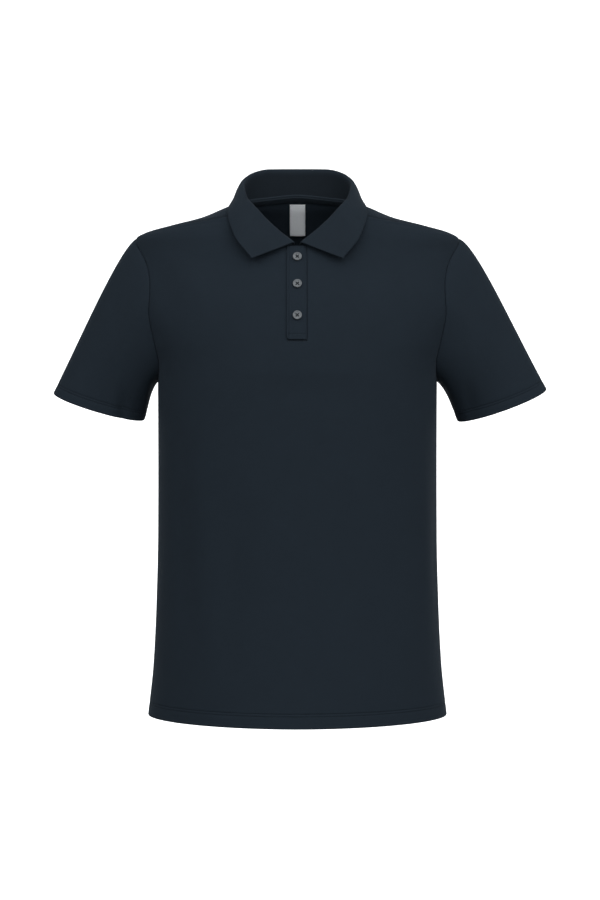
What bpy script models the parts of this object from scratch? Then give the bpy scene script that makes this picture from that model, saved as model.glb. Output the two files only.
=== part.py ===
"""Short-sleeved polo shirt, standing in the hollow form it takes when it is worn.

Metres, +Z up. The front of the shirt faces -Y and the wearer's left is at +X. The origin lies on the
shirt's middle plane, between the high points of the shoulders, where the wearer's neck holds it up.

Every cloth piece is a wall made from one grid of points: the body pieces take theirs from one body
surface, the sleeves from a loft between armhole and cuff, and what is sewn on lies at an offset from
the piece that carries it. Neighbouring walls share their edge points and their offset directions, and
each then stops short by half a seam gap.
"""

import math
from collections import namedtuple

import bmesh
import bpy
import numpy as np
from mathutils import Matrix, Vector

# ---------------------------------------------------------------- driving dimensions

CLOTH = 0.0015                # wall of the pique cloth
SEAM_GAP = 0.0003             # air between two neighbouring pieces

HEM_Z = -0.689                # bottom edge of the body
HEM_TURN = 0.020              # height of the turned-up body hem
HEM_WALL = 0.0027             # wall where the hem is turned up
TURN_STEP = 0.001             # a turned hem thins to the single cloth over this
UNDERARM_Z = -0.246
ARMHOLE_TOP_Z = -0.0570
ARMHOLE_FRONT = 0.059         # reach of the armhole in front of the side seam
ARMHOLE_BACK = 0.064          # reach of the armhole behind the side seam
ARMHOLE_TOP_POWER = 1.7       # squareness of the armhole's upper half
ARMHOLE_UNDER_POWER = 3.0     # and of its scooped lower half

CUFF_TURN = 0.016             # height of the turned-up sleeve hem
CUFF_HALF_WIDTH = 0.0632      # across the arm, seen from the front
CUFF_HALF_DEPTH = 0.0420      # from the front of the arm to its back
CUFF_BACK = 0.008             # the cuff's middle lies behind the side seam by this
CUFF_BACKWARD = math.radians(10.5)  # the arm hangs a little backwards

PLACKET_HALF = 0.0125         # half the width of the front opening
PLACKET_BOTTOM_Z = -0.2000
PLACKET_TOP_Z = -0.0772
PLACKET_LAP = 0.0010          # the top band passes the opening's free edge by this
LAYER_GAP = 0.0005            # air between two layers that lie on each other
UNDER_LAP = 0.0020            # the under band passes behind the sewn edge by this
BAND_SINKS_FROM = 0.0070      # the top band is proud up to here
BAND_SINKS_OVER = 0.0058      # and sinks to its seam over this
NECK_FRONT_Z = -0.0775

COLLAR_WALL = 0.0019
COLLAR_ROLL = 0.0024          # radius of the fold, at the middle of the wall
COLLAR_REST = 0.0008          # air between the collar's fall and what it rests on
COLLAR_BOW = 0.07             # how far the fall bows out, as a share of its length
COLLAR_OFF_BAND = 0.004       # beside the placket, the fall sinks from the band to the panel over this
STAND_SINK = 0.0030           # the stand reaches this far below the neckline
STAND_GAP = 0.0006            # between the stand and the panels' edge, which meet as chords
STAND_ENDS = 0.88             # share of the collar's half from which the stand runs out
STAND_GONE = 0.97             # and where it is gone
STAND_SINK_LOSS = 0.6         # share of its sink that it loses on the way to the front

BUTTON_RADIUS = 0.00575
BUTTON_THICK = 0.0024
BUTTON_HEIGHTS = {"top": -0.0925, "middle": -0.1285, "bottom": -0.1690}
THREAD_HOLE_RADIUS = 0.00070
THREAD_HOLE_REACH = 0.00200   # from the button's middle to a hole's middle

TAPE_WALL = 0.0010
TAPE_OVER_STAND = 0.0010      # the tape reaches this far above the neckline
TAPE_ON_BACK = 0.0082         # and this far down the back
TAPE_SHARE = 0.40             # the tape ends at the side of the neck, at this share of the collar's half
TAPE_STATIONS = 12
LABEL_WIDTH = 0.0215
LABEL_BELOW_TAPE = 0.0030     # leaves a seam gap between the two, whose edges slant differently
LABEL_DROP = 0.0392           # from its top edge to its bottom edge
LABEL_WALL = 0.0010

# Level sections of the body. A section is a rounded box: its half width, its depth to the front and
# to the back of the side seams, and the power that squares it (2 is an ellipse).
Section = namedtuple("Section", "z half_width front back power")
BODY_SECTIONS = (
    Section(-0.6890, 0.1985, 0.1262, 0.1180, 1.90),
    Section(-0.6200, 0.1910, 0.1255, 0.1130, 2.10),
    Section(-0.5400, 0.1870, 0.1255, 0.1060, 2.20),
    Section(-0.4500, 0.1848, 0.1270, 0.1010, 2.25),
    Section(-0.3600, 0.1845, 0.1285, 0.1050, 2.30),
    Section(-0.2460, 0.1848, 0.1280, 0.1140, 2.40),
    Section(-0.2250, 0.1885, 0.1260, 0.1150, 2.40),
    Section(-0.2000, 0.1985, 0.1225, 0.1155, 2.40),
    Section(-0.1530, 0.2140, 0.1120, 0.1135, 2.35),
    Section(-0.0920, 0.2175, 0.0890, 0.1035, 2.20),
    Section(-0.0740, 0.2185, 0.0825, 0.0970, 2.15),
    Section(-0.0640, 0.2170, 0.0795, 0.0932, 2.15),
    Section(-0.0570, 0.2140, 0.0768, 0.0900, 2.12),
    Section(-0.0508, 0.2035, 0.0745, 0.0870, 2.10),
    Section(-0.0417, 0.1715, 0.0715, 0.0820, 2.10),
    Section(-0.0312, 0.1300, 0.0685, 0.0765, 2.10),
    Section(-0.0207, 0.1040, 0.0660, 0.0700, 2.10),
    Section(-0.0090, 0.0795, 0.0620, 0.0620, 2.10),
    Section(0.0100, 0.0680, 0.0560, 0.0530, 2.10),
)

# The neckline, from the middle of the front round the side to the middle of the back.
# turn is the angle round the body in degrees: -90 front, 0 side, 90 back.
NeckPoint = namedtuple("NeckPoint", "turn z")
NECKLINE = (
    NeckPoint(-90, NECK_FRONT_Z),
    NeckPoint(-78, -0.0725),
    NeckPoint(-62, -0.0520),
    NeckPoint(-45, -0.0300),
    NeckPoint(-30, -0.0190),
    NeckPoint(0, -0.0090),
    NeckPoint(35, 0.0010),
    NeckPoint(90, 0.0080),
    NeckPoint(145, 0.0010),       # on the other side, so that the line is level in the middle
)
SHOULDER_SEAM_TURN = -44.0    # where the shoulder seam meets the neckline

# The shoulder seam runs in front of the shoulder's ridge: its distance in front of the side plane,
# against its share of the way from the armhole to the neck.
SeamPoint = namedtuple("SeamPoint", "share forward")
SHOULDER_SEAM = (
    SeamPoint(0.00, 0.0015),
    SeamPoint(0.30, 0.0350),
    SeamPoint(0.60, 0.0535),
    SeamPoint(1.00, 0.0599),
)

# The two arms hang a little differently: the middle of each cuff, out from the shirt's middle plane
# and down, the cuff's swing away from level and the lean of the outer line in degrees, and how far
# the cloth over the shoulder's tip is lifted.
Arm = namedtuple("Arm", "side cuff_out cuff_z swing lean lift")
ARMS = {
    "sleeve_left": Arm(1, 0.2730, -0.2780, 20.3, 29.5, 0.018),
    "sleeve_right": Arm(-1, 0.2650, -0.2800, 17.0, 26.5, -0.010),
}
EVEN_ARM = Arm(1, 0.2690, -0.2790, 18.7, 28.0, 0.004)  # between the two, for what both sides share

# How the sleeve leaves the armhole, going round it from the shoulder over the front: the start
# direction out, back and up, scaled by how long the cloth keeps it.
Leave = namedtuple("Leave", "turn out back up")
SLEEVE_LEAVES = (
    Leave(0, 0.068, 0.000, -0.030),
    Leave(45, 0.072, -0.012, -0.048),
    Leave(90, 0.070, -0.004, -0.058),
    Leave(135, 0.052, 0.010, -0.028),
    Leave(180, 0.036, 0.000, 0.000),
    Leave(225, 0.052, -0.004, -0.026),
    Leave(270, 0.070, 0.012, -0.058),
    Leave(315, 0.072, 0.018, -0.048),
    Leave(360, 0.068, 0.000, -0.030),
)
SLEEVE_ARRIVES_TOP = 0.250    # how long the cloth has the arm's direction at the cuff
SLEEVE_ARRIVES_UNDER = 0.050
ARM_LEAN_UNDER = 22.6         # degrees

# The collar at stations from the middle of the back to its front edge: where the neckline is met
# (as a turn), and where the fold and the outer edge lie.
Station = namedtuple("Station", "share turn fold_x fold_y fold_z edge_x edge_y edge_z")
COLLAR_STATIONS = (
    Station(-0.16, 122, -0.0370, 0.0560, 0.0450, -0.0500, 0.0730, 0.0000),  # rounds the middle
    Station(0.00, 90, 0.0000, 0.0620, 0.0461, 0.0000, 0.0790, 0.0030),
    Station(0.16, 58, 0.0370, 0.0560, 0.0450, 0.0500, 0.0730, 0.0000),
    Station(0.32, 28, 0.0630, 0.0340, 0.0335, 0.0770, 0.0415, -0.0055),
    Station(0.47, 0, 0.0705, 0.0010, 0.0160, 0.0848, -0.0030, -0.0105),
    Station(0.61, -26, 0.0670, -0.0330, -0.0060, 0.0900, -0.0530, -0.0315),
    Station(0.78, -52, 0.0465, -0.0610, -0.0340, 0.0810, -0.0850, -0.0630),
    Station(1.00, -86, 0.0035, -0.0845, -0.0730, 0.0580, -0.1010, -0.0950),
)

# How finely the walls are divided.
BODY_COLUMNS = 14             # from the opening to the side seam
BODY_ROWS = 10                # from the hem to the underarm
ARMHOLE_ROWS = 11             # up each side of the armhole
SHOULDER_ROWS = 7             # along the shoulder seam
SLEEVE_ROWS = 11
COLLAR_HALF_STATIONS = 22
ROUND_STEPS = 28              # round a button


# ---------------------------------------------------------------- curves through tables

def column(rows, name):
    return np.array([getattr(row, name) for row in rows], dtype=float)


def along(rows, key, name, at):
    """The value of one column of a table between its rows, with no overshoot."""
    xs = column(rows, key)
    ys = column(rows, name)
    steps = np.diff(xs)
    rises = np.diff(ys) / steps
    slopes = np.empty_like(ys)
    slopes[0] = rises[0]
    slopes[-1] = rises[-1]
    for i in range(1, len(xs) - 1):
        before, after = rises[i - 1], rises[i]
        if before * after <= 0.0:
            slopes[i] = 0.0
        else:
            share = (1.0 + steps[i] / (steps[i - 1] + steps[i])) / 3.0
            slopes[i] = before * after / (share * after + (1.0 - share) * before)
    at = min(max(at, xs[0]), xs[-1])
    i = min(int(np.searchsorted(xs, at, side="right")) - 1, len(xs) - 2)
    k = (at - xs[i]) / steps[i]
    return float(
        ys[i] * (1 + 2 * k) * (1 - k) ** 2
        + slopes[i] * steps[i] * k * (1 - k) ** 2
        + ys[i + 1] * k * k * (3 - 2 * k)
        - slopes[i + 1] * steps[i] * k * k * (1 - k)
    )


def ease(k):
    k = min(max(k, 0.0), 1.0)
    return k * k * (3.0 - 2.0 * k)


def mix(a, b, k):
    return a + (b - a) * k


def signed_power(value, power):
    return math.copysign(abs(value) ** power, value)


# ---------------------------------------------------------------- the body surface

def body_section(z):
    return tuple(along(BODY_SECTIONS, "z", name, z) for name in ("half_width", "front", "back", "power"))


def body_point(turn, z):
    """A point of the cloth's outer face, at an angle round the body and a height."""
    half_width, front, back, power = body_section(z)
    angle = math.radians(turn)
    depth = front if math.sin(angle) < 0.0 else back
    reach = (abs(math.cos(angle)) / half_width) ** power + (abs(math.sin(angle)) / depth) ** power
    radius = reach ** (-1.0 / power)
    return Vector((radius * math.cos(angle), radius * math.sin(angle), z))


def body_normal(turn, z):
    along_turn = body_point(turn + 0.5, z) - body_point(turn - 0.5, z)
    along_z = body_point(turn, z + 0.0008) - body_point(turn, z - 0.0008)
    return along_turn.cross(along_z).normalized()


def turn_at_y(y, z):
    """The angle round the body where its wearer's left side is at y."""
    half_width, front, back, power = body_section(z)
    share = min(abs(y) / (front if y < 0.0 else back), 1.0)
    x = half_width * (1.0 - share ** power) ** (1.0 / power)
    return math.degrees(math.atan2(y, x))


def turn_at_x(x, z, side):
    """The angle round the body where its front (side -1) or back (side 1) is at x."""
    half_width, front, back, power = body_section(z)
    share = min(abs(x) / half_width, 1.0)
    y = (front if side < 0 else back) * (1.0 - share ** power) ** (1.0 / power)
    return math.degrees(math.atan2(side * y, x))


def on_front(x, z, offset=0.0):
    """A point at an offset from the front of the body."""
    turn = turn_at_x(x, z, -1)
    return body_point(turn, z) + body_normal(turn, z) * offset


def off_body(point, clearance):
    """The point, moved out where it lies nearer to the body surface than the clearance."""
    for _ in range(4):
        turn = math.degrees(math.atan2(point.y, point.x))
        normal = body_normal(turn, point.z)
        gap = (point - body_point(turn, point.z)).dot(normal)
        if gap >= clearance or point.z > BODY_SECTIONS[-1].z:
            break
        point = point + normal * (clearance - gap)
    return point


def neck_z(turn):
    return along(NECKLINE, "turn", "z", turn)


def opening_top():
    """Where the side of the front opening meets the neckline."""
    z = NECK_FRONT_Z
    for _ in range(12):
        turn = turn_at_x(PLACKET_HALF, z, -1)
        z = neck_z(turn)
    return turn, z


# ---------------------------------------------------------------- armhole and sleeve

def armhole_place(round_turn):
    """Angle round the body and height of the armhole, from the shoulder over the front."""
    angle = math.radians(round_turn)
    power = 2.0 / (ARMHOLE_TOP_POWER if math.cos(angle) > 0.0 else ARMHOLE_UNDER_POWER)
    middle = (ARMHOLE_TOP_Z + UNDERARM_Z) / 2.0
    z = middle + (ARMHOLE_TOP_Z - middle) * signed_power(math.cos(angle), power)
    reach = ARMHOLE_FRONT if math.sin(angle) > 0.0 else ARMHOLE_BACK
    y = -reach * signed_power(math.sin(angle), power)
    return turn_at_y(y, z), z


def cuff_point(arm, round_turn):
    swing = math.radians(arm.swing)
    across = Vector((math.cos(swing), 0.0, math.sin(swing)))
    down = Vector((math.sin(swing), 0.0, -math.cos(swing)))
    forward = Vector((0.0, -1.0, 0.0)) * math.cos(CUFF_BACKWARD) + down * math.sin(CUFF_BACKWARD)
    angle = math.radians(round_turn)
    centre = Vector((arm.cuff_out, CUFF_BACK, arm.cuff_z))
    return (centre + across * CUFF_HALF_WIDTH * math.cos(angle)
            + forward * CUFF_HALF_DEPTH * math.sin(angle))


def sleeve_point(arm, round_turn, share):
    """A point of the sleeve's outer face between the armhole (share 0) and the cuff (share 1)."""
    round_turn %= 360.0
    start = body_point(*armhole_place(round_turn))
    end = cuff_point(arm, round_turn)
    leaves = Vector([along(SLEEVE_LEAVES, "turn", name, round_turn) for name in ("out", "back", "up")])
    upper = (1.0 + math.cos(math.radians(round_turn))) / 2.0
    leaves.z += arm.lift * upper ** 4
    lean = math.radians(mix(ARM_LEAN_UNDER, arm.lean, upper))
    arrives = Vector((math.sin(lean), 0.0, -math.cos(lean))) * mix(
        SLEEVE_ARRIVES_UNDER, SLEEVE_ARRIVES_TOP, upper)
    k = share
    return (start * (1 + 2 * k) * (1 - k) ** 2 + leaves * k * (1 - k) ** 2
            + end * k * k * (3 - 2 * k) - arrives * k * k * (1 - k))


def sleeve_normal(arm, round_turn, share):
    near, far = (share, share + 0.01) if share < 0.5 else (share - 0.01, share)
    along_arm = sleeve_point(arm, round_turn, far) - sleeve_point(arm, round_turn, near)
    around = sleeve_point(arm, round_turn - 1.0, share) - sleeve_point(arm, round_turn + 1.0, share)
    return along_arm.cross(around).normalized()


def armhole_normal(round_turn):
    """The mitre between body and sleeve: halfway between their normals, longer where they turn."""
    body = body_normal(*armhole_place(round_turn))
    arm = sleeve_normal(EVEN_ARM, round_turn, 0.0)
    return (body + arm) / (1.0 + body.dot(arm))


def seam_round_turn():
    """Where round the armhole the shoulder seam starts: a little in front of the top."""
    reach = SHOULDER_SEAM[0].forward / ARMHOLE_FRONT
    return math.degrees(math.asin(reach ** (ARMHOLE_TOP_POWER / 2.0)))


# ---------------------------------------------------------------- walls

def wall(name, outer, inner, keep=None, closed=False):
    """A closed solid between two grids of points, one row of points for each row of the grid.

    keep(row, column) says which cells there are, and closed joins each row's end to its start.
    """
    rows = len(outer)
    columns = len(outer[0])
    spans = columns if closed else columns - 1
    cells = [(i, j) for i in range(rows - 1) for j in range(spans) if keep is None or keep(i, j)]
    mesh = bmesh.new()
    made = {}

    def vertex(layer, i, j):
        key = (layer, i, j % columns)
        if key not in made:
            made[key] = mesh.verts.new((outer if layer == 0 else inner)[i][j % columns])
        return made[key]

    borders = {}
    for i, j in cells:
        loop = ((i, j), (i, j + 1), (i + 1, j + 1), (i + 1, j))
        mesh.faces.new([vertex(0, *corner) for corner in loop])
        mesh.faces.new([vertex(1, *corner) for corner in reversed(loop)])
        for a, b in zip(loop, loop[1:] + loop[:1]):
            a, b = (a[0], a[1] % columns), (b[0], b[1] % columns)
            if (b, a) in borders:
                del borders[(b, a)]
            else:
                borders[(a, b)] = True
    for a, b in borders:
        mesh.faces.new([vertex(0, *b), vertex(0, *a), vertex(1, *a), vertex(1, *b)])
    bmesh.ops.recalc_face_normals(mesh, faces=mesh.faces)
    return add_object(name, mesh)


def add_object(name, mesh):
    data = bpy.data.meshes.new(name)
    mesh.to_mesh(data)
    mesh.free()
    data.shade_smooth()
    data.set_sharp_from_angle(angle=math.radians(40))
    made = bpy.data.objects.new(name, data)
    bpy.context.scene.collection.objects.link(made)
    return made


def grid_normals(grid):
    """Directions across a grid of points, from the points beside each."""
    rows, columns = len(grid), len(grid[0])
    normals = []
    for i in range(rows):
        line = []
        for j in range(columns):
            up = grid[min(i + 1, rows - 1)][j] - grid[max(i - 1, 0)][j]
            across = grid[i][min(j + 1, columns - 1)] - grid[i][max(j - 1, 0)]
            line.append(across.cross(up).normalized())
        normals.append(line)
    return normals


def shifted(grid, normals, offset):
    """The grid moved along its normals, by one distance or by one for each row."""
    offsets = offset if isinstance(offset, (list, tuple)) else [offset] * len(grid)
    return [[p + n * d for p, n in zip(line, across)] for line, across, d in zip(grid, normals, offsets)]


def pulled_in(edge, normals, beside, closed=False):
    """An edge's points moved along the cloth and square to the edge, toward the points beside them."""
    count = len(edge)
    inward = []
    for k in range(count):
        before = edge[k - 1] if closed or k > 0 else edge[k]
        after = edge[(k + 1) % count] if closed or k < count - 1 else edge[k]
        inward.append((after - before).cross(normals[k]).normalized())
    side = sum((q - p).dot(d) for p, q, d in zip(edge, beside, inward))
    move = math.copysign(SEAM_GAP / 2.0, side)
    return [p + d * move for p, d in zip(edge, inward)]


def pull_in_sides(grid, normals):
    """Moves a grid's first and last column in by half a seam gap."""
    for at, beside in ((0, 1), (-1, -2)):
        lines = [line[at] for line in grid], [line[at] for line in normals], [line[beside] for line in grid]
        for line, point in zip(grid, pulled_in(*lines)):
            line[at] = point


def mirrored(grid):
    """The grid on the other side of the middle plane, its columns reversed."""
    return [[Vector((-p.x, p.y, p.z)) for p in reversed(line)] for line in grid]


# ---------------------------------------------------------------- front and back

def side_seam_heights():
    """Heights up the side seam: two rows for the hem, then even steps to the underarm."""
    hem_top = HEM_Z + HEM_TURN
    steps = [mix(hem_top, UNDERARM_Z, k / (BODY_ROWS - 2)) for k in range(1, BODY_ROWS - 1)]
    return [HEM_Z, hem_top - TURN_STEP, hem_top] + steps


def shoulder_seam_places(neck_turn, count):
    """Places (turn, z) on the shoulder seam from the armhole to the neck, ends included."""
    start_z = armhole_place(seam_round_turn())[1]
    end_z = neck_z(neck_turn)
    places = []
    for k in range(count + 1):
        share = k / count
        z = mix(start_z, end_z, share ** 0.85)
        forward = along(SHOULDER_SEAM, "share", "forward", share)
        places.append((turn_at_y(-forward, z), z))
    places[0] = armhole_place(seam_round_turn())
    places[-1] = (neck_turn, end_z)
    return places


def side_edge(is_front):
    """The edge of a body half from the hem to the neck: places and, at the armhole, seam normals."""
    heights = side_seam_heights()
    places = [(0.0, z) for z in heights]
    normals = [body_normal(0.0, z) for z in heights]
    last = seam_round_turn() if is_front else seam_round_turn() + 360.0
    turns = [mix(180.0, last, k / ARMHOLE_ROWS) for k in range(ARMHOLE_ROWS + 1)]
    normals[-1] = armhole_normal(turns[0])
    for round_turn in turns[1:]:
        places.append(armhole_place(round_turn))
        normals.append(armhole_normal(round_turn))
    for place in shoulder_seam_places(SHOULDER_SEAM_TURN, SHOULDER_ROWS)[1:]:
        places.append(place)
        normals.append(body_normal(*place))
    return places, normals


def middle_heights(heights, is_front):
    """Heights up the middle edge of a body half, one for each place of its side edge."""
    count = ARMHOLE_ROWS + SHOULDER_ROWS
    if not is_front:
        return heights + [mix(UNDERARM_Z, neck_z(90), k / count) for k in range(1, count + 1)]
    below = 4                 # rows between the underarm and the foot of the opening
    top = opening_top()[1]
    low = [mix(UNDERARM_Z, PLACKET_BOTTOM_Z, k / below) for k in range(1, below + 1)]
    high = [mix(PLACKET_BOTTOM_Z, top, k / (count - below)) for k in range(1, count - below + 1)]
    return heights + low + high


def body_half(is_front):
    """Grids of places and normals for the wearer's-left half, from its middle edge to its side."""
    edge, edge_normals = side_edge(is_front)
    heights = middle_heights(side_seam_heights(), is_front)
    if is_front:
        middle = [(turn_at_x(PLACKET_HALF, z, -1), z) for z in heights]
    else:
        middle = [(90.0, z) for z in heights]
    first_curved = len(side_seam_heights()) - 2
    points, normals = [], []
    for i, ((turn_0, z_0), (turn_1, z_1)) in enumerate(zip(middle, edge)):
        blend = ease((i - first_curved) / (len(edge) - 1 - first_curved))
        point_line, normal_line = [], []
        for j in range(BODY_COLUMNS + 1):
            u = j / BODY_COLUMNS
            turn = mix(turn_0, turn_1, u)
            neck_turn = mix(middle[-1][0], SHOULDER_SEAM_TURN, u)
            sag = neck_z(neck_turn) - mix(middle[-1][1], neck_z(SHOULDER_SEAM_TURN), u)
            z = mix(z_0, z_1, u) + blend * sag
            point_line.append(body_point(turn, z))
            normal_line.append(edge_normals[i] if j == BODY_COLUMNS else body_normal(turn, z))
        points.append(point_line)
        normals.append(normal_line)
    return points, normals


def hem_walls(row_count):
    """Wall of each row: the turned hem, then the single cloth."""
    return [HEM_WALL, HEM_WALL] + [CLOTH] * (row_count - 2)


def front_panel():
    half, half_normals = body_half(True)
    middle = [body_point(-90.0, line[0].z) for line in half]
    middle_normals = [body_normal(-90.0, line[0].z) for line in half]
    left = mirrored(half)
    left_normals = mirrored(half_normals)
    outer = [a + [m] + b for a, m, b in zip(left, middle, half)]
    normals = [a + [m] + b for a, m, b in zip(left_normals, middle_normals, half_normals)]
    inner = shifted(outer, normals, [-w for w in hem_walls(len(outer))])
    pull_in_sides(outer, normals)
    pull_in_sides(inner, normals)
    foot = next(i for i, line in enumerate(half) if abs(line[0].z - PLACKET_BOTTOM_Z) < 1e-5)
    centre = (BODY_COLUMNS, BODY_COLUMNS + 1)
    return wall("front_panel", outer, inner, keep=lambda i, j: j not in centre or i < foot)


def back_panel():
    half, half_normals = body_half(False)
    right = mirrored(half)
    right_normals = mirrored(half_normals)
    outer = [a[:-1] + b for a, b in zip(right, half)]
    normals = [a[:-1] + b for a, b in zip(right_normals, half_normals)]
    inner = shifted(outer, normals, [-w for w in hem_walls(len(outer))])
    pull_in_sides(outer, normals)
    pull_in_sides(inner, normals)
    return wall("back_panel", outer, inner)


# ---------------------------------------------------------------- sleeves

def sleeve_rounds():
    """Angles round the sleeve, the same as those of the panels along the armhole."""
    top = seam_round_turn()
    over_front = [mix(180.0, top, k / ARMHOLE_ROWS) for k in range(ARMHOLE_ROWS)]
    over_back = [mix(180.0, 360.0 + top, k / ARMHOLE_ROWS) for k in range(ARMHOLE_ROWS + 1)]
    return over_front[::-1] + over_back[1:-1] + [360.0 + top]


def sleeve_line(arm, round_turn):
    """Shares of the way at which the sleeve's rows lie: the last ones make the turned hem."""
    fine = [k / 60 for k in range(61)]
    points = [sleeve_point(arm, round_turn, k) for k in fine]
    lengths = np.cumsum([0.0] + [(b - a).length for a, b in zip(points, points[1:])])
    turn_at = lengths[-1] - CUFF_TURN
    wanted = [turn_at * (k / SLEEVE_ROWS) ** 1.15 for k in range(SLEEVE_ROWS + 1)]
    wanted += [turn_at + TURN_STEP, lengths[-1]]
    return [float(np.interp(w, lengths, fine)) for w in wanted]


def sleeve(name, arm):
    rounds = sleeve_rounds()
    shares = [sleeve_line(arm, r) for r in rounds]
    outer, normals = [], []
    for i in range(len(shares[0])):
        outer.append([sleeve_point(arm, r, s[i]) for r, s in zip(rounds, shares)])
        normals.append([sleeve_normal(arm, r, s[i]) for r, s in zip(rounds, shares)])
    normals[0] = [armhole_normal(r) for r in rounds]
    walls = [-CLOTH] * (len(outer) - 2) + [-HEM_WALL, -HEM_WALL]
    inner = shifted(outer, normals, walls)
    for grid in (outer, inner):
        grid[0] = pulled_in(grid[0], normals[0], grid[1], closed=True)
    if arm.side < 0:
        outer, inner = mirrored(outer), mirrored(inner)
    return wall(name, outer, inner, closed=True)


# ---------------------------------------------------------------- collar

def collar_place(share):
    """Neckline turn, fold and outer edge of the wearer's-left half at a share of its length."""
    turn, *rest = (along(COLLAR_STATIONS, "share", name, share) for name in Station._fields[1:])
    return turn, Vector(rest[:3]), Vector(rest[3:])


def stand_foot(share):
    """The stand's lower edge, at the neckline's level, just inside the panels' edge."""
    turn, fold, edge = collar_place(share)
    normal = body_normal(turn, neck_z(turn))
    level = Vector((normal.x, normal.y, 0.0)).normalized()
    foot = body_point(turn, neck_z(turn)) - level * (CLOTH + STAND_GAP + COLLAR_WALL / 2.0)
    run_out = ease((share - STAND_ENDS) / (STAND_GONE - STAND_ENDS))
    tucked = fold - level * 2.0 * COLLAR_ROLL - Vector((0.0, 0.0, COLLAR_ROLL))
    return mix(foot, tucked, run_out), STAND_SINK * (1.0 - run_out) * (1.0 - STAND_SINK_LOSS * share)


def collar_clearance(x):
    """How far the middle of the collar's wall stays from the body: more where it lies on the band."""
    over_band = (CLOTH + LAYER_GAP) * (1.0 - ease((x - PLACKET_HALF) / COLLAR_OFF_BAND))
    return COLLAR_WALL / 2.0 + COLLAR_REST + over_band


def collar_section(share):
    """The middle of the wall, from the stand's foot over the fold to the outer edge."""
    turn, fold, edge = collar_place(share)
    foot, sink = stand_foot(share)

    def roll():
        """The top of the stand, the ways up and out of it, and the angle the cloth folds over by."""
        up = (fold - foot).normalized()
        fall = (edge - fold).normalized()
        out = (fall - up * fall.dot(up)).normalized()
        return fold - up * COLLAR_ROLL, up, out, up.angle(fall)

    def on_roll(top, up, out, angle):
        return top + (out * (1.0 - math.cos(angle)) + up * math.sin(angle)) * COLLAR_ROLL

    for _ in range(3):
        start = on_roll(*roll())
        fold = fold + off_body(start, collar_clearance(start.x)) - start
    top, up, out, angle = roll()
    line = [foot - Vector((0.0, 0.0, sink))] + [mix(foot, top, k / 3) for k in range(4)]
    line += [on_roll(top, up, out, angle * k / 5) for k in range(1, 5)]
    start = on_roll(top, up, out, angle)
    bow = out * (edge - start).length * COLLAR_BOW
    for k in range(6):
        down = k / 5
        point = mix(start, edge, down) + bow * (4 * down * (1 - down))
        line.append(off_body(point, collar_clearance(point.x)))
    return line


def collar():
    half = [collar_section(k / COLLAR_HALF_STATIONS) for k in range(COLLAR_HALF_STATIONS + 1)]
    other = [[Vector((-p.x, p.y, p.z)) for p in line] for line in reversed(half[1:])]
    middle = other + half
    normals = grid_normals(middle)
    outer = shifted(middle, normals, COLLAR_WALL / 2.0)
    inner = shifted(middle, normals, -COLLAR_WALL / 2.0)
    return wall("collar", outer, inner)


# ---------------------------------------------------------------- placket

def band_rise(x):
    """How far the top band stands off the panel: proud at its free edge, flush at its seam."""
    proud = CLOTH + LAYER_GAP
    return proud * (1.0 - ease((x - BAND_SINKS_FROM) / BAND_SINKS_OVER))


def placket_band(name, x_from, x_to, drop):
    """A band of the placket: the panel's own points, moved out by its rise and in by its drop."""
    columns = [mix(x_from, x_to, k / 8) for k in range(9)]
    bottom = PLACKET_BOTTOM_Z + LAYER_GAP
    heights = [mix(bottom, PLACKET_TOP_Z, k / 9) for k in range(10)]
    outer = [[on_front(x, z, band_rise(x) - drop) for x in columns] for z in heights]
    inner = [[on_front(x, z, band_rise(x) - drop - CLOTH) for x in columns] for z in heights]
    return wall(name, outer, inner)


# ---------------------------------------------------------------- inside the neck

def below_neckline(turn, distance):
    """The height at which the body lies a distance below the neckline, along its surface."""
    z = neck_z(turn)
    start = body_point(turn, z)
    step = 0.0002
    while (body_point(turn, z) - start).length < distance:
        z -= step
    return z


def tape_line(share):
    """The side of the tape next to the back, from its upper edge over the stand to its lower one."""
    turn = collar_place(share)[0]
    foot = stand_foot(share)[0]
    normal = body_normal(turn, neck_z(turn))
    level = Vector((normal.x, normal.y, 0.0)).normalized()
    upper = foot - level * (COLLAR_WALL / 2.0 + LAYER_GAP) + Vector((0.0, 0.0, TAPE_OVER_STAND))
    middle = upper - Vector((0.0, 0.0, TAPE_OVER_STAND + STAND_SINK))
    z = below_neckline(turn, TAPE_ON_BACK)
    lower = body_point(turn, z) - body_normal(turn, z) * (CLOTH + LAYER_GAP)
    return [upper, middle, mix(middle, lower, 0.5), lower]


def neck_tape():
    """The tape over the inside of the back neck seam, from side to side."""
    half = [tape_line(TAPE_SHARE * k / TAPE_STATIONS) for k in range(TAPE_STATIONS + 1)]
    other = [[Vector((-p.x, p.y, p.z)) for p in line] for line in reversed(half[1:])]
    near_back = other + half
    return wall("neck_tape", near_back, shifted(near_back, grid_normals(near_back), TAPE_WALL))


def label():
    """The woven label, blank, hanging from the tape inside the back neck."""
    top = below_neckline(90.0, TAPE_ON_BACK + LABEL_BELOW_TAPE)
    heights = [top - LABEL_DROP * k / 6 for k in range(7)]
    columns = [mix(-LABEL_WIDTH / 2, LABEL_WIDTH / 2, k / 2) for k in range(3)]
    places = [[(turn_at_x(x, z, 1), z) for x in columns] for z in heights]
    depth = CLOTH + LAYER_GAP
    near_back = [[body_point(*at) - body_normal(*at) * depth for at in line] for line in places]
    far = depth + LABEL_WALL
    near_neck = [[body_point(*at) - body_normal(*at) * far for at in line] for line in places]
    return wall("label", near_back, near_neck)


# ---------------------------------------------------------------- buttons

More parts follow.
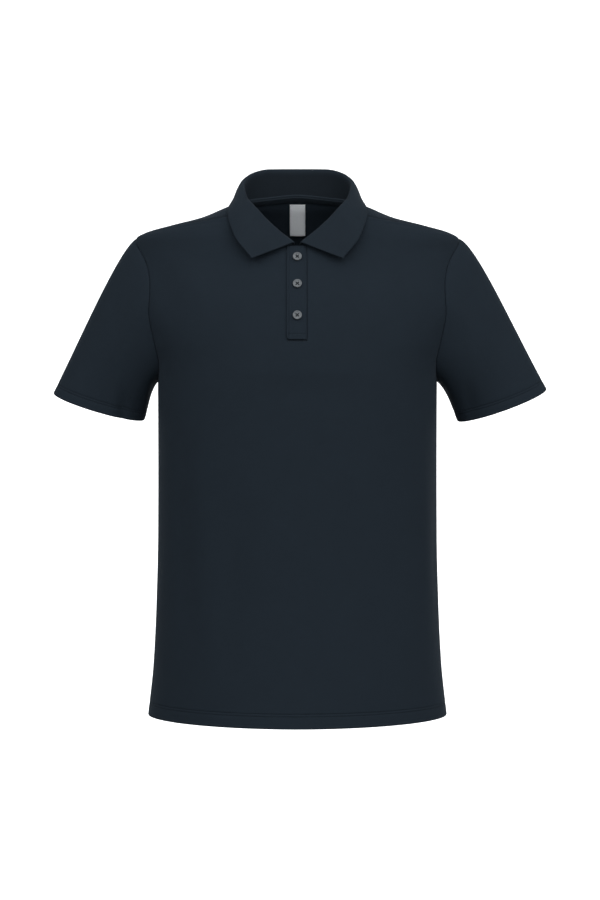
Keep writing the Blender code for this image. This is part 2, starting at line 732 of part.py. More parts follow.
def button(name, z):
    """A sewn-through button: a turned disc with a raised rim and four thread holes."""
    profile = (
        (0.30 * BUTTON_RADIUS, 0.0), (0.86 * BUTTON_RADIUS, 0.0), (BUTTON_RADIUS, 0.35 * BUTTON_THICK),
        (BUTTON_RADIUS, 0.72 * BUTTON_THICK), (0.93 * BUTTON_RADIUS, BUTTON_THICK),
        (0.80 * BUTTON_RADIUS, BUTTON_THICK), (0.68 * BUTTON_RADIUS, 0.70 * BUTTON_THICK),
        (0.30 * BUTTON_RADIUS, 0.66 * BUTTON_THICK),
    )
    mesh = bmesh.new()
    rings = []
    for radius, height in profile:
        rings.append([
            mesh.verts.new((radius * math.cos(a), radius * math.sin(a), height))
            for a in (2 * math.pi * k / ROUND_STEPS for k in range(ROUND_STEPS))
        ])
    for low, high in zip(rings, rings[1:]):
        for k in range(ROUND_STEPS):
            n = (k + 1) % ROUND_STEPS
            mesh.faces.new((low[k], low[n], high[n], high[k]))
    mesh.faces.new(list(reversed(rings[0])))
    mesh.faces.new(rings[-1])
    bmesh.ops.recalc_face_normals(mesh, faces=mesh.faces)
    made = add_object(name, mesh)
    cut_thread_holes(made)
    seat = on_front(0.0, z, CLOTH + LAYER_GAP + LAYER_GAP)
    out = body_normal(-90.0, z)
    across = Vector((1.0, 0.0, 0.0))
    up = out.cross(across)
    made.matrix_world = Matrix.Translation(seat) @ Matrix((across, up, out)).transposed().to_4x4()
    return made


def cut_thread_holes(target):
    mesh = bmesh.new()
    for k in range(4):
        angle = math.radians(45 + 90 * k)
        place = Matrix.Translation((
            THREAD_HOLE_REACH * math.cos(angle), THREAD_HOLE_REACH * math.sin(angle), BUTTON_THICK / 2,
        ))
        bmesh.ops.create_cone(
            mesh, cap_ends=True, segments=10, radius1=THREAD_HOLE_RADIUS, radius2=THREAD_HOLE_RADIUS,
            depth=BUTTON_THICK * 2, matrix=place,
        )
    data = bpy.data.meshes.new(target.name + "_holes")
    mesh.to_mesh(data)
    mesh.free()
    cutter = bpy.data.objects.new(target.name + "_holes", data)
    bpy.context.scene.collection.objects.link(cutter)
    cutter.hide_render = True
    cutter.display_type = "WIRE"
    cutter.parent = target
    cut = target.modifiers.new("thread_holes", "BOOLEAN")
    cut.object = cutter
    cut.operation = "DIFFERENCE"


# ---------------------------------------------------------------- materials and assembly

def material(name, colour, roughness):
    made = bpy.data.materials.new(name)
    made.use_nodes = True
    shader = made.node_tree.nodes["Principled BSDF"]
    shader.inputs["Base Color"].default_value = (*colour, 1.0)
    shader.inputs["Roughness"].default_value = roughness
    return made


def build():
    for old in list(bpy.data.objects):
        bpy.data.objects.remove(old)
    pique = material("navy_pique", (0.015, 0.022, 0.031), 0.85)
    rib = material("navy_rib", (0.016, 0.022, 0.030), 0.85)
    tape = material("navy_tape", (0.022, 0.030, 0.039), 0.80)
    satin = material("grey_satin", (0.70, 0.71, 0.73), 0.60)
    plastic = material("grey_plastic", (0.12, 0.13, 0.15), 0.35)
    pieces = {
        front_panel(): pique,
        back_panel(): pique,
        **{sleeve(name, arm): pique for name, arm in ARMS.items()},
        collar(): rib,
        placket_band("placket_top", -PLACKET_HALF - PLACKET_LAP, PLACKET_HALF - SEAM_GAP, 0.0): pique,
        placket_band("placket_under", -PLACKET_HALF + SEAM_GAP, PLACKET_HALF + UNDER_LAP,
                     CLOTH + LAYER_GAP): pique,
        neck_tape(): tape,
        label(): satin,
    }
    for place, z in BUTTON_HEIGHTS.items():
        pieces[button("button_" + place, z)] = plastic
    for piece, finish in pieces.items():
        piece.data.materials.append(finish)


build()
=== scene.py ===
# Looks of a polo shirt in navy pique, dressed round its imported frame.
# Metres, +Z up. The front faces -Y and the wearer's left is at +X.
import math

import bmesh
import bpy
import numpy as np
from mathutils import Matrix, Vector


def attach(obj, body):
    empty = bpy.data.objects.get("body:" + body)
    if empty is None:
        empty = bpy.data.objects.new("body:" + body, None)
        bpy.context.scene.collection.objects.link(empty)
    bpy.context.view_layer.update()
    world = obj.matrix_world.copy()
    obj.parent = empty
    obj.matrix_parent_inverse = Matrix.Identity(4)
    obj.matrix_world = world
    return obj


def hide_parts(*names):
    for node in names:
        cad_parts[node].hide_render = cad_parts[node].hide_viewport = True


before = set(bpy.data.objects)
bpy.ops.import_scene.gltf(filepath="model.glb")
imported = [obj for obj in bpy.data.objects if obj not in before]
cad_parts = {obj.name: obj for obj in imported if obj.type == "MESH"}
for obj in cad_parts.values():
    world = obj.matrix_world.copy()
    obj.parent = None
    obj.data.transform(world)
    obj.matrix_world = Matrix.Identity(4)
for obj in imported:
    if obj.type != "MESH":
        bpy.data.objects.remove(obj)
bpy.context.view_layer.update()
print("frame loaded:", len(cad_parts), "nodes")


# tables and small sums on arrays

def asTable(columns, rows):
    return {name: np.array([row[k] for row in rows], float) for k, name in enumerate(columns)}


def readTable(table, key, name, at):
    # one column of a table between its rows, with no overshoot
    xs, ys = table[key], table[name]
    steps = np.diff(xs)
    rises = np.diff(ys) / steps
    before, after = rises[:-1], rises[1:]
    share = (1 + steps[1:] / (steps[:-1] + steps[1:])) / 3
    blended = share * after + (1 - share) * before
    rising = before * after > 0
    middle = np.where(rising, before * after / np.where(rising, blended, 1), 0)
    slopes = np.concatenate([rises[:1], middle, rises[-1:]])
    at = np.clip(at, xs[0], xs[-1])
    i = np.clip(np.searchsorted(xs, at, side="right") - 1, 0, len(xs) - 2)
    k = (at - xs[i]) / steps[i]
    return (ys[i] * (1 + 2 * k) * (1 - k) ** 2 + slopes[i] * steps[i] * k * (1 - k) ** 2
            + ys[i + 1] * k * k * (3 - 2 * k) - slopes[i + 1] * steps[i] * k * k * (1 - k))


def ease(k):
    k = np.clip(k, 0, 1)
    return k * k * (3 - 2 * k)


def mix(a, b, k):
    return a + (b - a) * k


def signedPower(value, power):
    return np.sign(value) * np.abs(value) ** power


def unit(vectors):
    return vectors / np.maximum(np.linalg.norm(vectors, axis=-1, keepdims=True), 1e-12)


def lengthsAlong(line):
    steps = np.linalg.norm(np.diff(line, axis=0), axis=-1)
    return np.concatenate([[0], np.cumsum(steps)])


def evenly(values, line, count, power=1.0):
    # the values at even steps of a line's length, or at steps that grow with the power
    lengths = lengthsAlong(line)
    wanted = np.linspace(0, 1, count + 1) ** power * lengths[-1]
    return np.interp(wanted, lengths, values)


def nearestTo(points, line):
    # distance from each point to a line of points
    flat = points.reshape(-1, 3)
    best = np.full(len(flat), np.inf)
    for a, b in zip(line[:-1], line[1:]):
        along = b - a
        t = np.clip(((flat - a) @ along) / max(along @ along, 1e-14), 0, 1)
        best = np.minimum(best, np.linalg.norm(flat - a - t[:, None] * along, axis=1))
    return best.reshape(points.shape[:-1])


# the form that the body pieces share

bodyForm = {
    "underarm": -0.246,
    "hem": -0.689,
    "hemTurn": 0.020,              # height of the turned-up hem
    "cloth": 0.0015,
    "hemWall": 0.0027,
    "hemStep": 0.0008,             # the wall thins to one layer over this
    "rim": 0.0011,                 # rounding of a cut edge, and of a turned one
    "turnedRim": 0.0016,
    "turnedRimTo": 0.004,
    "seamGap": 0.0003,
    "sections": asTable(("z", "halfWidth", "front", "back", "power"), (
        (-0.6890, 0.1985, 0.1262, 0.1180, 1.90),
        (-0.6200, 0.1910, 0.1255, 0.1130, 2.10),
        (-0.5400, 0.1870, 0.1255, 0.1060, 2.20),
        (-0.4500, 0.1848, 0.1270, 0.1010, 2.25),
        (-0.3600, 0.1845, 0.1285, 0.1050, 2.30),
        (-0.2460, 0.1848, 0.1280, 0.1140, 2.40),
        (-0.2250, 0.1885, 0.1260, 0.1150, 2.40),
        (-0.2000, 0.1985, 0.1225, 0.1155, 2.40),
        (-0.1530, 0.2140, 0.1120, 0.1135, 2.35),
        (-0.0920, 0.2175, 0.0890, 0.1035, 2.20),
        (-0.0740, 0.2185, 0.0825, 0.0970, 2.15),
        (-0.0640, 0.2170, 0.0795, 0.0932, 2.15),
        (-0.0570, 0.2140, 0.0768, 0.0900, 2.12),
        (-0.0508, 0.2035, 0.0745, 0.0870, 2.10),
        (-0.0417, 0.1715, 0.0715, 0.0820, 2.10),
        (-0.0312, 0.1300, 0.0685, 0.0765, 2.10),
        (-0.0207, 0.1040, 0.0660, 0.0700, 2.10),
        (-0.0090, 0.0795, 0.0620, 0.0620, 2.10),
        (0.0100, 0.0680, 0.0560, 0.0530, 2.10),
    )),
    # from the middle of the front (-90 degrees) round the side (0) to the middle of the back
    "neckline": asTable(("turn", "z"), (
        (-90, -0.0775), (-78, -0.0725), (-62, -0.0520), (-45, -0.0300),
        (-30, -0.0190), (0, -0.0090), (35, 0.0010), (90, 0.0080), (145, 0.0010),
    )),
    "shoulderTurn": -44.0,         # where the shoulder seam meets the neckline
    "shoulderSeam": asTable(("share", "forward"), (
        (0.00, 0.0015), (0.30, 0.0350), (0.60, 0.0535), (1.00, 0.0599),
    )),
    "armholeTop": -0.0570,
    "armholeFront": 0.059,
    "armholeBack": 0.064,
    "armholeTopPower": 1.7,
    "armholeUnderPower": 3.0,
}


def bodySection(z):
    return [readTable(bodyForm["sections"], "z", name, z) for name in ("halfWidth", "front", "back", "power")]


def bodyPoint(turn, z):
    turn, z = np.broadcast_arrays(np.asarray(turn, float), np.asarray(z, float))
    halfWidth, front, back, power = bodySection(z)
    angle = np.radians(turn)
    depth = np.where(np.sin(angle) < 0, front, back)
    reach = (np.abs(np.cos(angle)) / halfWidth) ** power + (np.abs(np.sin(angle)) / depth) ** power
    radius = reach ** (-1 / power)
    return np.stack([radius * np.cos(angle), radius * np.sin(angle), z], axis=-1)


def bodyNormal(turn, z):
    alongTurn = bodyPoint(turn + 0.5, z) - bodyPoint(turn - 0.5, z)
    alongZ = bodyPoint(turn, z + 0.0008) - bodyPoint(turn, z - 0.0008)
    return unit(np.cross(alongTurn, alongZ))


def turnAtY(y, z):
    halfWidth, front, back, power = bodySection(z)
    share = np.minimum(np.abs(y) / np.where(y < 0, front, back), 1)
    return np.degrees(np.arctan2(y, halfWidth * (1 - share ** power) ** (1 / power)))


def turnAtX(x, z, side):
    halfWidth, front, back, power = bodySection(z)
    share = np.minimum(np.abs(x) / halfWidth, 1)
    y = (front if side < 0 else back) * (1 - share ** power) ** (1 / power)
    return np.degrees(np.arctan2(side * y, x))


def neckHeight(turn):
    return readTable(bodyForm["neckline"], "turn", "z", turn)


def armholePlace(roundTurn, grow=0.0):
    # angle round the body and height of the armhole, from the shoulder (0) over the front (90)
    f = bodyForm
    angle = np.radians(roundTurn)
    power = 2 / np.where(np.cos(angle) > 0, f["armholeTopPower"], f["armholeUnderPower"])
    middle = (f["armholeTop"] + f["underarm"]) / 2
    z = middle + (f["armholeTop"] - middle + grow) * signedPower(np.cos(angle), power)
    reach = np.where(np.sin(angle) > 0, f["armholeFront"], f["armholeBack"]) + grow
    y = -reach * signedPower(np.sin(angle), power)
    return turnAtY(y, z), z


def seamRoundTurn():
    # where round the armhole the shoulder seam starts
    reach = bodyForm["shoulderSeam"]["forward"][0] / bodyForm["armholeFront"]
    return math.degrees(math.asin(reach ** (bodyForm["armholeTopPower"] / 2)))


# creases of the body, in metres round it from the middle of the front (wearer's left is plus) and in
# height: from one end to the other, deepest at a share of the way, with the half width and the rise

bodyFolds = {
    "girthAt": -0.300,             # level whose girth measures the places
    "clearOfSeams": 0.014,         # creases fade out this near the armhole and the neckline
    "rows": asTable(("girth0", "z0", "girth1", "z1", "deepest", "halfWidth", "rise"), (
        # beside the armholes, running down the chest
        (-0.205, -0.085, -0.150, -0.190, 0.45, 0.0130, -0.0022),
        (-0.175, -0.080, -0.115, -0.175, 0.50, 0.0150, 0.0014),
        (0.200, -0.110, 0.158, -0.200, 0.50, 0.0140, -0.0012),
        # below the chest
        (-0.090, -0.265, 0.120, -0.262, 0.60, 0.0220, -0.0013),
        # long soft ones down the front
        (-0.168, -0.280, -0.150, -0.660, 0.42, 0.0150, -0.0020),
        (-0.128, -0.250, -0.120, -0.640, 0.50, 0.0170, 0.0015),
        (-0.070, -0.360, -0.098, -0.655, 0.50, 0.0150, -0.0017),
        (-0.030, -0.330, -0.046, -0.600, 0.55, 0.0220, 0.0012),
        (0.115, -0.250, 0.150, -0.560, 0.40, 0.0210, -0.0016),
        (0.178, -0.290, 0.190, -0.620, 0.45, 0.0160, 0.0016),
        (0.216, -0.330, 0.220, -0.640, 0.50, 0.0120, -0.0012),
        # the back: under the shoulder blades and down to the hem
        (0.360, -0.235, 0.430, -0.330, 0.45, 0.0180, -0.0020),
        (0.640, -0.232, 0.560, -0.345, 0.50, 0.0190, -0.0022),
        (0.420, -0.300, 0.405, -0.610, 0.45, 0.0200, -0.0020),
        (0.462, -0.360, 0.455, -0.640, 0.55, 0.0190, 0.0016),
        (0.520, -0.330, 0.532, -0.590, 0.40, 0.0220, -0.0018),
        (0.585, -0.320, 0.600, -0.630, 0.50, 0.0180, 0.0015),
        (0.300, -0.300, 0.318, -0.560, 0.50, 0.0150, -0.0014),
        (0.700, -0.300, 0.690, -0.600, 0.45, 0.0150, -0.0016),
    )),
}


def girthTable():
    turns = np.linspace(-90, 270, 721)
    lengths = lengthsAlong(bodyPoint(turns, bodyFolds["girthAt"]))
    return turns, lengths


girthTurns, girthLengths = girthTable()


def girthPlace(turn):
    # metres round the body from the middle of the front, for turns from -270 to 270
    turn = np.asarray(turn, float)
    left = np.interp(turn, girthTurns, girthLengths)
    return np.where(turn < -90, -np.interp(-180 - turn, girthTurns, girthLengths), left)


def foldRise(x, y, rows, girth=None):
    # sum of the creases' rises at places given by two coordinates in metres; x starts again after a girth
    total = np.zeros(np.broadcast(x, y).shape)
    for x0, y0, x1, y1, deepest, halfWidth, rise in zip(*rows.values()):
        for shift in ((0,) if girth is None else (-girth, 0, girth)):
            alongX, alongY = x1 - x0, y1 - y0
            length2 = alongX ** 2 + alongY ** 2
            t = np.clip(((x + shift - x0) * alongX + (y - y0) * alongY) / length2, 0, 1)
            away = np.hypot(x + shift - x0 - t * alongX, y - y0 - t * alongY)
            fade = np.sin(np.pi * t ** (math.log(0.5) / math.log(deepest))) ** 1.5
            total += rise * fade * np.exp(-(away / halfWidth) ** 2)
    return total


def bodyRise(turn, z):
    return foldRise(girthPlace(turn), z, bodyFolds["rows"], girthLengths[-1])


def mirroredTurn(turn):
    return np.where(turn < 0, -180 - turn, 180 - turn)


def hemmedWall(fromHem, turned):
    # the wall at a distance from a hem's edge
    return mix(bodyForm["hemWall"], bodyForm["cloth"], ease((fromHem - turned) / bodyForm["hemStep"]))


def hemmedRim(fromHem):
    return np.where(fromHem < bodyForm["turnedRimTo"], bodyForm["turnedRim"], bodyForm["rim"])


stitchLines = {}                   # rows of points and their outward directions, by the seam's name


def keepLine(seam, points, outward):
    stitchLines.setdefault(seam, []).append((points, unit(outward)))


def keepRows(seam, fromEdge, places, points, outward):
    # rows of stitching at distances from an edge
    for at in places:
        row = int(np.argmin(np.abs(fromEdge[:, 0] - at)))
        keepLine(seam, points[row], outward[row])


def dress(piece, node=None):
    # every piece rides the root; node is the solid that it stands for
    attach(piece, "root")
    if node:
        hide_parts(node)


# one wall of cloth from two grids of points that meet at the rim

def roundedWall(depth, wall, roundness):
    # share of the wall that is there at a distance from the rim
    k = np.clip(1 - depth / roundness, 0, 1)
    return wall * np.sqrt(1 - k * k)


def linkObject(name, data):
    made = bpy.data.objects.new(name, data)
    bpy.context.scene.collection.objects.link(made)
    return made


def addPiece(name, vertices, faces, uv, material, shade, facing):
    mesh = bpy.data.meshes.new(name)
    mesh.from_pydata(vertices, [], faces)
    layer = mesh.uv_layers.new(name="cloth")
    corners = np.empty(len(mesh.loops), np.int32)
    mesh.loops.foreach_get("vertex_index", corners)
    layer.data.foreach_set("uv", np.asarray(uv, np.float32)[corners].ravel())
    attribute = mesh.attributes.new("shade", "FLOAT", "POINT")
    attribute.data.foreach_set("value", np.asarray(shade, np.float32))
    mesh.shade_smooth()
    if facing is not None:
        mesh.normals_split_custom_set_from_vertices(facing.tolist())
    mesh.materials.append(material)
    return linkObject(name, mesh)


def clothPiece(name, middle, normals, wall, depth, uv, material, roundness, keep=None, shade=None,
               facing=None):
    # middle is the grid of the outer face, wall its thickness, and depth the distance from the rim;
    # facing, where it is given, is the direction that the outer face shows away from its rim
    rows, columns = middle.shape[:2]
    kept = np.ones((rows - 1, columns - 1), bool) if keep is None else keep
    padded = np.pad(kept, 1).astype(int)
    around = padded[:-1, :-1] + padded[1:, :-1] + padded[:-1, 1:] + padded[1:, 1:]
    used, inside = around > 0, around == 4
    depth = np.where(inside, depth, 0)
    there = roundedWall(depth, wall, roundness)
    outer = middle - normals * ((wall - there) / 2)[..., None]
    inner = middle - normals * ((wall + there) / 2)[..., None]
    outerIndex = np.full((rows, columns), -1)
    outerIndex[used] = np.arange(used.sum())
    innerIndex = outerIndex.copy()
    innerIndex[inside] = used.sum() + np.arange(inside.sum())
    i, j = np.nonzero(kept)

    def quads(index):
        return np.stack([index[i, j], index[i, j + 1], index[i + 1, j + 1], index[i + 1, j]], axis=1)

    faces = np.concatenate([quads(outerIndex), quads(innerIndex)[:, ::-1]])
    vertices = np.concatenate([outer[used], inner[inside]])
    corner = vertices[faces]
    volume = (np.einsum("ij,ij->", corner[:, 0], np.cross(corner[:, 1], corner[:, 2]))
              + np.einsum("ij,ij->", corner[:, 0], np.cross(corner[:, 2], corner[:, 3])))
    if volume < 0:
        faces = faces[:, ::-1]
    flat = np.concatenate([uv[used], uv[inside]])
    # painted shade factors for each vertex, one where nothing is painted
    shade = np.ones(depth.shape) if shade is None else shade
    tones = np.concatenate([shade[used], shade[inside]])
    if facing is not None:
        facing = np.where((depth > 2 * roundness)[..., None], facing, 0)
        facing = np.concatenate([facing[used], -facing[inside]])
    return addPiece(name, vertices.tolist(), faces.tolist(), flat, material, tones, facing)


def gridNormals(grid):
    across = np.empty_like(grid)
    up = np.empty_like(grid)
    across[:, 1:-1] = grid[:, 2:] - grid[:, :-2]
    across[:, 0] = grid[:, 1] - grid[:, 0]
    across[:, -1] = grid[:, -1] - grid[:, -2]
    up[1:-1] = grid[2:] - grid[:-2]
    up[0] = grid[1] - grid[0]
    up[-1] = grid[-1] - grid[-2]
    return unit(np.cross(across, up))


def softened(shift, rounds, endsFree=True):
    # each row takes from its neighbours, again and again, so that a bend spreads over many rows
    for _ in range(rounds):
        first, last = shift[:1], shift[-1:]
        if not endsFree:
            first, last = 2 * first - shift[1:2], 2 * last - shift[-2:-1]
        wider = np.concatenate([first, shift, last])
        shift = (wider[:-2] + 2 * wider[1:-1] + wider[2:]) / 4
    return shift


def lengthsTable(grid, axis):
    steps = np.linalg.norm(np.diff(grid, axis=axis), axis=-1)
    pad = [(0, 0), (0, 0)]
    pad[axis] = (1, 0)
    return np.cumsum(np.pad(steps, pad), axis=axis)


def rimDistance(grid):
    # distance along the grid's own lines to the nearest end
    return np.minimum.reduce([lengthsTable(grid, 1), lengthsTable(grid[:, ::-1], 1)[:, ::-1],
                              lengthsTable(grid, 0), lengthsTable(grid[::-1], 0)[::-1]])


def bothSides(half):
    # the wearer's-left half, from the middle out, with its mirror image before it
    other = half[:0:-1].copy()
    other[..., 0] *= -1
    return np.concatenate([other, half])


def laidFlat(grid, start, rounds=900, coarse=7, slantWeight=0.6, hurry=1.6):
    # the cut of a grid of points: lengths between neighbours stay, and the first column stays straight
    i, j = (np.unique(np.round(np.linspace(0, count - 1, max(count // coarse, 4))).astype(int))
            for count in grid.shape[:2])
    allRise, allRun = lengthsTable(grid, 0), lengthsTable(grid, 1)
    rise, run = allRise[np.ix_(i, j)], allRun[np.ix_(i, j)]
    g = grid[np.ix_(i, j)]
    flat = start[np.ix_(i, j)].copy()
    pairs = [(np.s_[:, :-1], np.s_[:, 1:], run[:, 1:] - run[:, :-1], 1.0),
             (np.s_[:-1], np.s_[1:], rise[1:] - rise[:-1], 1.0)]
    for a, b in ((np.s_[:-1, :-1], np.s_[1:, 1:]), (np.s_[:-1, 1:], np.s_[1:, :-1])):
        pairs.append((a, b, np.linalg.norm(g[b] - g[a], axis=-1), slantWeight))
    straight = flat[:, 0, 0].copy()
    for _ in range(rounds):
        move = np.zeros_like(flat)
        share = np.zeros(flat.shape[:2] + (1,))
        for a, b, length, weight in pairs:
            gap = flat[b] - flat[a]
            now = np.linalg.norm(gap, axis=-1)
            shift = gap * ((now - np.maximum(length, 1e-6)) / np.maximum(now, 1e-9) * 0.5 * weight)[..., None]
            move[a] += shift
            move[b] -= shift
            share[a] += weight
            share[b] += weight
        flat += move / share * hurry
        flat[:, 0, 0] = straight
    full = np.empty(grid.shape[:2] + (2,))
    for k in range(2):
        lines = zip(i, flat[:, :, k])
        across = np.array([np.interp(allRun[row], allRun[row, j], line) for row, line in lines])
        full[:, :, k] = np.array([np.interp(allRise[:, column], allRise[i, column], line)
                                  for column, line in enumerate(across.T)]).T
    moved = softened(full - start, coarse * 3, False)
    return start + softened(moved.swapaxes(0, 1), coarse * 3, False).swapaxes(0, 1)


# materials: the knit, the rib, tape, satin, thread and button plastic

def addNode(tree, kind, inputs=None, **settings):
    made = tree.nodes.new(kind)
    for key, value in settings.items():
        setattr(made, key, value)
    fill(tree, made, inputs or {})
    return made


def fill(tree, node, inputs):
    # inputs, by name or number, take a value or another node's output
    for key, value in inputs.items():
        if isinstance(value, bpy.types.NodeSocket):
            tree.links.new(value, node.inputs[key])
        else:
            node.inputs[key].default_value = value


def sumNode(tree, operation, *values):
    return addNode(tree, "ShaderNodeMath", dict(enumerate(values)), operation=operation).outputs[0]


def scaled(tree, vector, factor):
    node = addNode(tree, "ShaderNodeVectorMath", {0: vector, "Scale": factor}, operation="SCALE")
    return node.outputs[0]


def nodeGroup(name, treeKind, inputs, outputs):
    # each socket is a name, a kind and, where it has one, a value
    group = bpy.data.node_groups.new(name, treeKind)
    for inOut, sockets in (("INPUT", inputs), ("OUTPUT", outputs)):
        for label, kind, *value in sockets:
            socket = group.interface.new_socket(label, in_out=inOut, socket_type="NodeSocket" + kind)
            if value:
                socket.default_value = value[0]
    given, out = group.nodes.new("NodeGroupInput"), group.nodes.new("NodeGroupOutput")
    return group, given.outputs, out


def knitCellsGroup():
    # small dimples in rows, every other row moved by half a cell, as pique shows them
    group, given, out = nodeGroup(
        "knitCells", "ShaderNodeTree",
        (("Place", "Vector"), ("Cell Width", "Float", 0.0013), ("Cell Height", "Float", 0.0011),
         ("Unevenness", "Float", 0.10)),
        (("Height", "Float"), ("Yarn", "Float")))

    def take(operation, *values):
        return sumNode(group, operation, *values)

    wander = addNode(group, "ShaderNodeTexNoise", {"Scale": 260, "Detail": 1, "Vector": given["Place"]})
    place = addNode(group, "ShaderNodeSeparateXYZ", {0: given["Place"]}).outputs
    sway = take("MULTIPLY", take("SUBTRACT", wander.outputs["Fac"], 0.5), given["Unevenness"])
    across = take("ADD", take("DIVIDE", place[0], given["Cell Width"]), sway)
    up = take("ADD", take("DIVIDE", place[1], given["Cell Height"]), sway)
    odd = take("MULTIPLY", take("MODULO", take("FLOOR", up), 2.0), 0.5)
    inX = take("SUBTRACT", take("FRACT", take("ADD", across, odd)), 0.5)
    inY = take("SUBTRACT", take("FRACT", up), 0.5)
    far = take("ADD", take("POWER", take("ABSOLUTE", inX), 2.0), take("POWER", take("ABSOLUTE", inY), 2.0))
    height = take("MINIMUM", take("MULTIPLY", far, 4.5), 1.0)
    course = take("ABSOLUTE", take("SINE", take("MULTIPLY", up, math.pi)))
    yarn = take("ADD", take("MULTIPLY", course, 0.3), take("MULTIPLY", height, 0.7))
    fill(group, out, {"Height": height, "Yarn": yarn})
    return group


def clothToneGroup():
    # slow and fine changes of tone that dyed cotton has
    group, given, out = nodeGroup(
        "clothTone", "ShaderNodeTree",
        (("Place", "Vector"), ("Colour", "Color", (0.02, 0.02, 0.02, 1)), ("Yarn", "Float", 0.5),
         ("Contrast", "Float", 0.2)),
        (("Colour", "Color"), ("Roughness", "Float")))

    def take(operation, *values):
        return sumNode(group, operation, *values)

    slow = addNode(group, "ShaderNodeTexNoise", {"Scale": 26, "Detail": 3, "Vector": given["Place"]})
    stretch = addNode(group, "ShaderNodeMapping", {"Scale": (60, 900, 60), "Vector": given["Place"]})
    courses = addNode(group, "ShaderNodeTexNoise", {"Scale": 1, "Detail": 2, "Vector": stretch.outputs[0]})
    tone = take("ADD", *(take("MULTIPLY", noise.outputs["Fac"], 0.5) for noise in (slow, courses)))
    tone = take("SUBTRACT", take("ADD", tone, given["Yarn"]), 1.0)
    factor = take("ADD", take("MULTIPLY", tone, given["Contrast"]), 1.0)
    fill(group, out, {"Colour": scaled(group, given["Colour"], factor),
                      "Roughness": take("ADD", take("MULTIPLY", given["Yarn"], -0.08), 0.92)})
    return group


knitCells = knitCellsGroup()
clothTone = clothToneGroup()


def blankMaterial(name):
    material = bpy.data.materials.new(name)
    material.use_nodes = True
    return material, material.node_tree, material.node_tree.nodes["Principled BSDF"]


def clothMaterial(name, colour, cellWidth, cellHeight, relief, contrast, sheen, uneven=0.10):
    material, tree, shader = blankMaterial(name)
    place = addNode(tree, "ShaderNodeUVMap", uv_map="cloth").outputs[0]
    size = {"Cell Width": cellWidth, "Cell Height": cellHeight, "Unevenness": uneven, "Place": place}
    cells = addNode(tree, "ShaderNodeGroup", size, node_tree=knitCells).outputs
    dye = {"Colour": (*colour, 1), "Contrast": contrast, "Place": place, "Yarn": cells["Yarn"]}
    tone = addNode(tree, "ShaderNodeGroup", dye, node_tree=clothTone).outputs
    bump = addNode(tree, "ShaderNodeBump", {"Distance": relief, "Strength": 1.0, "Height": cells["Height"]})
    # painted shade: darker where the piece's shade attribute is under one (the back beside the shoulder
    # seams, the collar's stand inside the neck)
    shade = addNode(tree, "ShaderNodeAttribute", attribute_name="shade").outputs["Fac"]
    fill(tree, shader, {
        "Base Color": scaled(tree, tone["Colour"], shade), "Roughness": tone["Roughness"],
        "Normal": bump.outputs[0], "Specular IOR Level": 0.12, "Sheen Weight": sheen,
        "Sheen Roughness": 0.35, "Sheen Tint": (0.62, 0.74, 0.90, 1)})
    return material


clothColours = {
    "pique": (0.0153, 0.0223, 0.0305),
    "rib": (0.0155, 0.0222, 0.0300),
    "tape": (0.0220, 0.0300, 0.0390),
    "thread": (0.0040, 0.0060, 0.0085),
    "label": (0.940, 0.945, 0.955),
    "labelThread": (0.350, 0.360, 0.380),
    "button": (0.152, 0.160, 0.168),
    "buttonThread": (0.022, 0.026, 0.031),
}

pique = clothMaterial("piqueNavy", clothColours["pique"], 0.0013, 0.0011, 0.00016, 0.22, 0.06)
ribKnit = clothMaterial("ribNavy", clothColours["rib"], 0.0016, 0.0009, 0.00014, 0.20, 0.06, 0.05)
print("cloth materials made")


# front and back

panelForm = {
    "columns": 56,                 # of a half, besides those at the rims
    "sideRows": 104,
    "armholeRows": 77,             # a multiple of 11, so that one row meets the foot of the placket
    "shoulderRows": 44,
    "lastShares": (0.985, 0.994, 0.998, 1.0),  # rows along the shoulder seam before the neckline
    "armholeShare": 11 / 18,       # of the rows over the underarm, those beside the armhole
    "footShare": 4 / 18,           # and those below the foot of the placket
    "seamSpread": 0.85,            # power that spreads the rows along the shoulder seam
    "mitreFrom": 0.93,             # share of the half from which the wall turns to meet the sleeve's
    "mitreFade": 0.030,            # and how far past the armhole it still does
    "rimSteps": (0.0002, 0.0005, 0.0009, 0.0015, 0.0024),
    "placketHalf": 0.0125,
    "placketFoot": -0.2000,
    "neckFront": -0.0775,
    "hemStitches": (0.0192, 0.0158),
    "furrow": (0.00045, 0.00085),  # depth and half width of the furrow under a row of stitching
    "lapRidge": 0.00125,           # the front stands up by this beside the shoulder seam
    "lapRecess": 0.00110,
    "lapAt": 0.0024,
    "lapHalf": 0.0027,
    "lapUnderCollar": 0.014,       # no lap this near the neckline, where the collar rests
    "lapShade": 0.34,              # painted shade: the back is darkened by this beside the seam
    "shadeHalf": 0.0090,
    "lapFade": 0.070,              # the lap grows over this from the armhole
}


def shoulderShares():
    share = np.linspace(0, 1, panelForm["shoulderRows"] + 1)
    return np.concatenate([share[:-1], panelForm["lastShares"]])


def openingTop():
    z = np.array(panelForm["neckFront"])
    for _ in range(12):
        z = neckHeight(turnAtX(panelForm["placketHalf"], z, -1))
    return float(z)


def hemSteps(turned, rim, stitches):
    # distances from a turned edge: fine at the rim, at the rows of stitching and at the turned edge
    steps = [0.0, *rim]
    while steps[-1] + 0.0022 < stitches[-1] - 0.0016:
        steps.append(steps[-1] + 0.0020)
    fine = np.arange(stitches[-1] - 0.0012, turned + 0.0014, 0.0004)
    return steps + list(fine)


def sideHeights():
    # heights up the side seam, from the hem to the underarm
    f, p = bodyForm, panelForm
    low = f["hem"] + np.array(hemSteps(f["hemTurn"], p["rimSteps"], p["hemStitches"]))
    high = np.linspace(low[-1], f["underarm"], p["sideRows"] + 1)[1:]
    return np.concatenate([low, high])


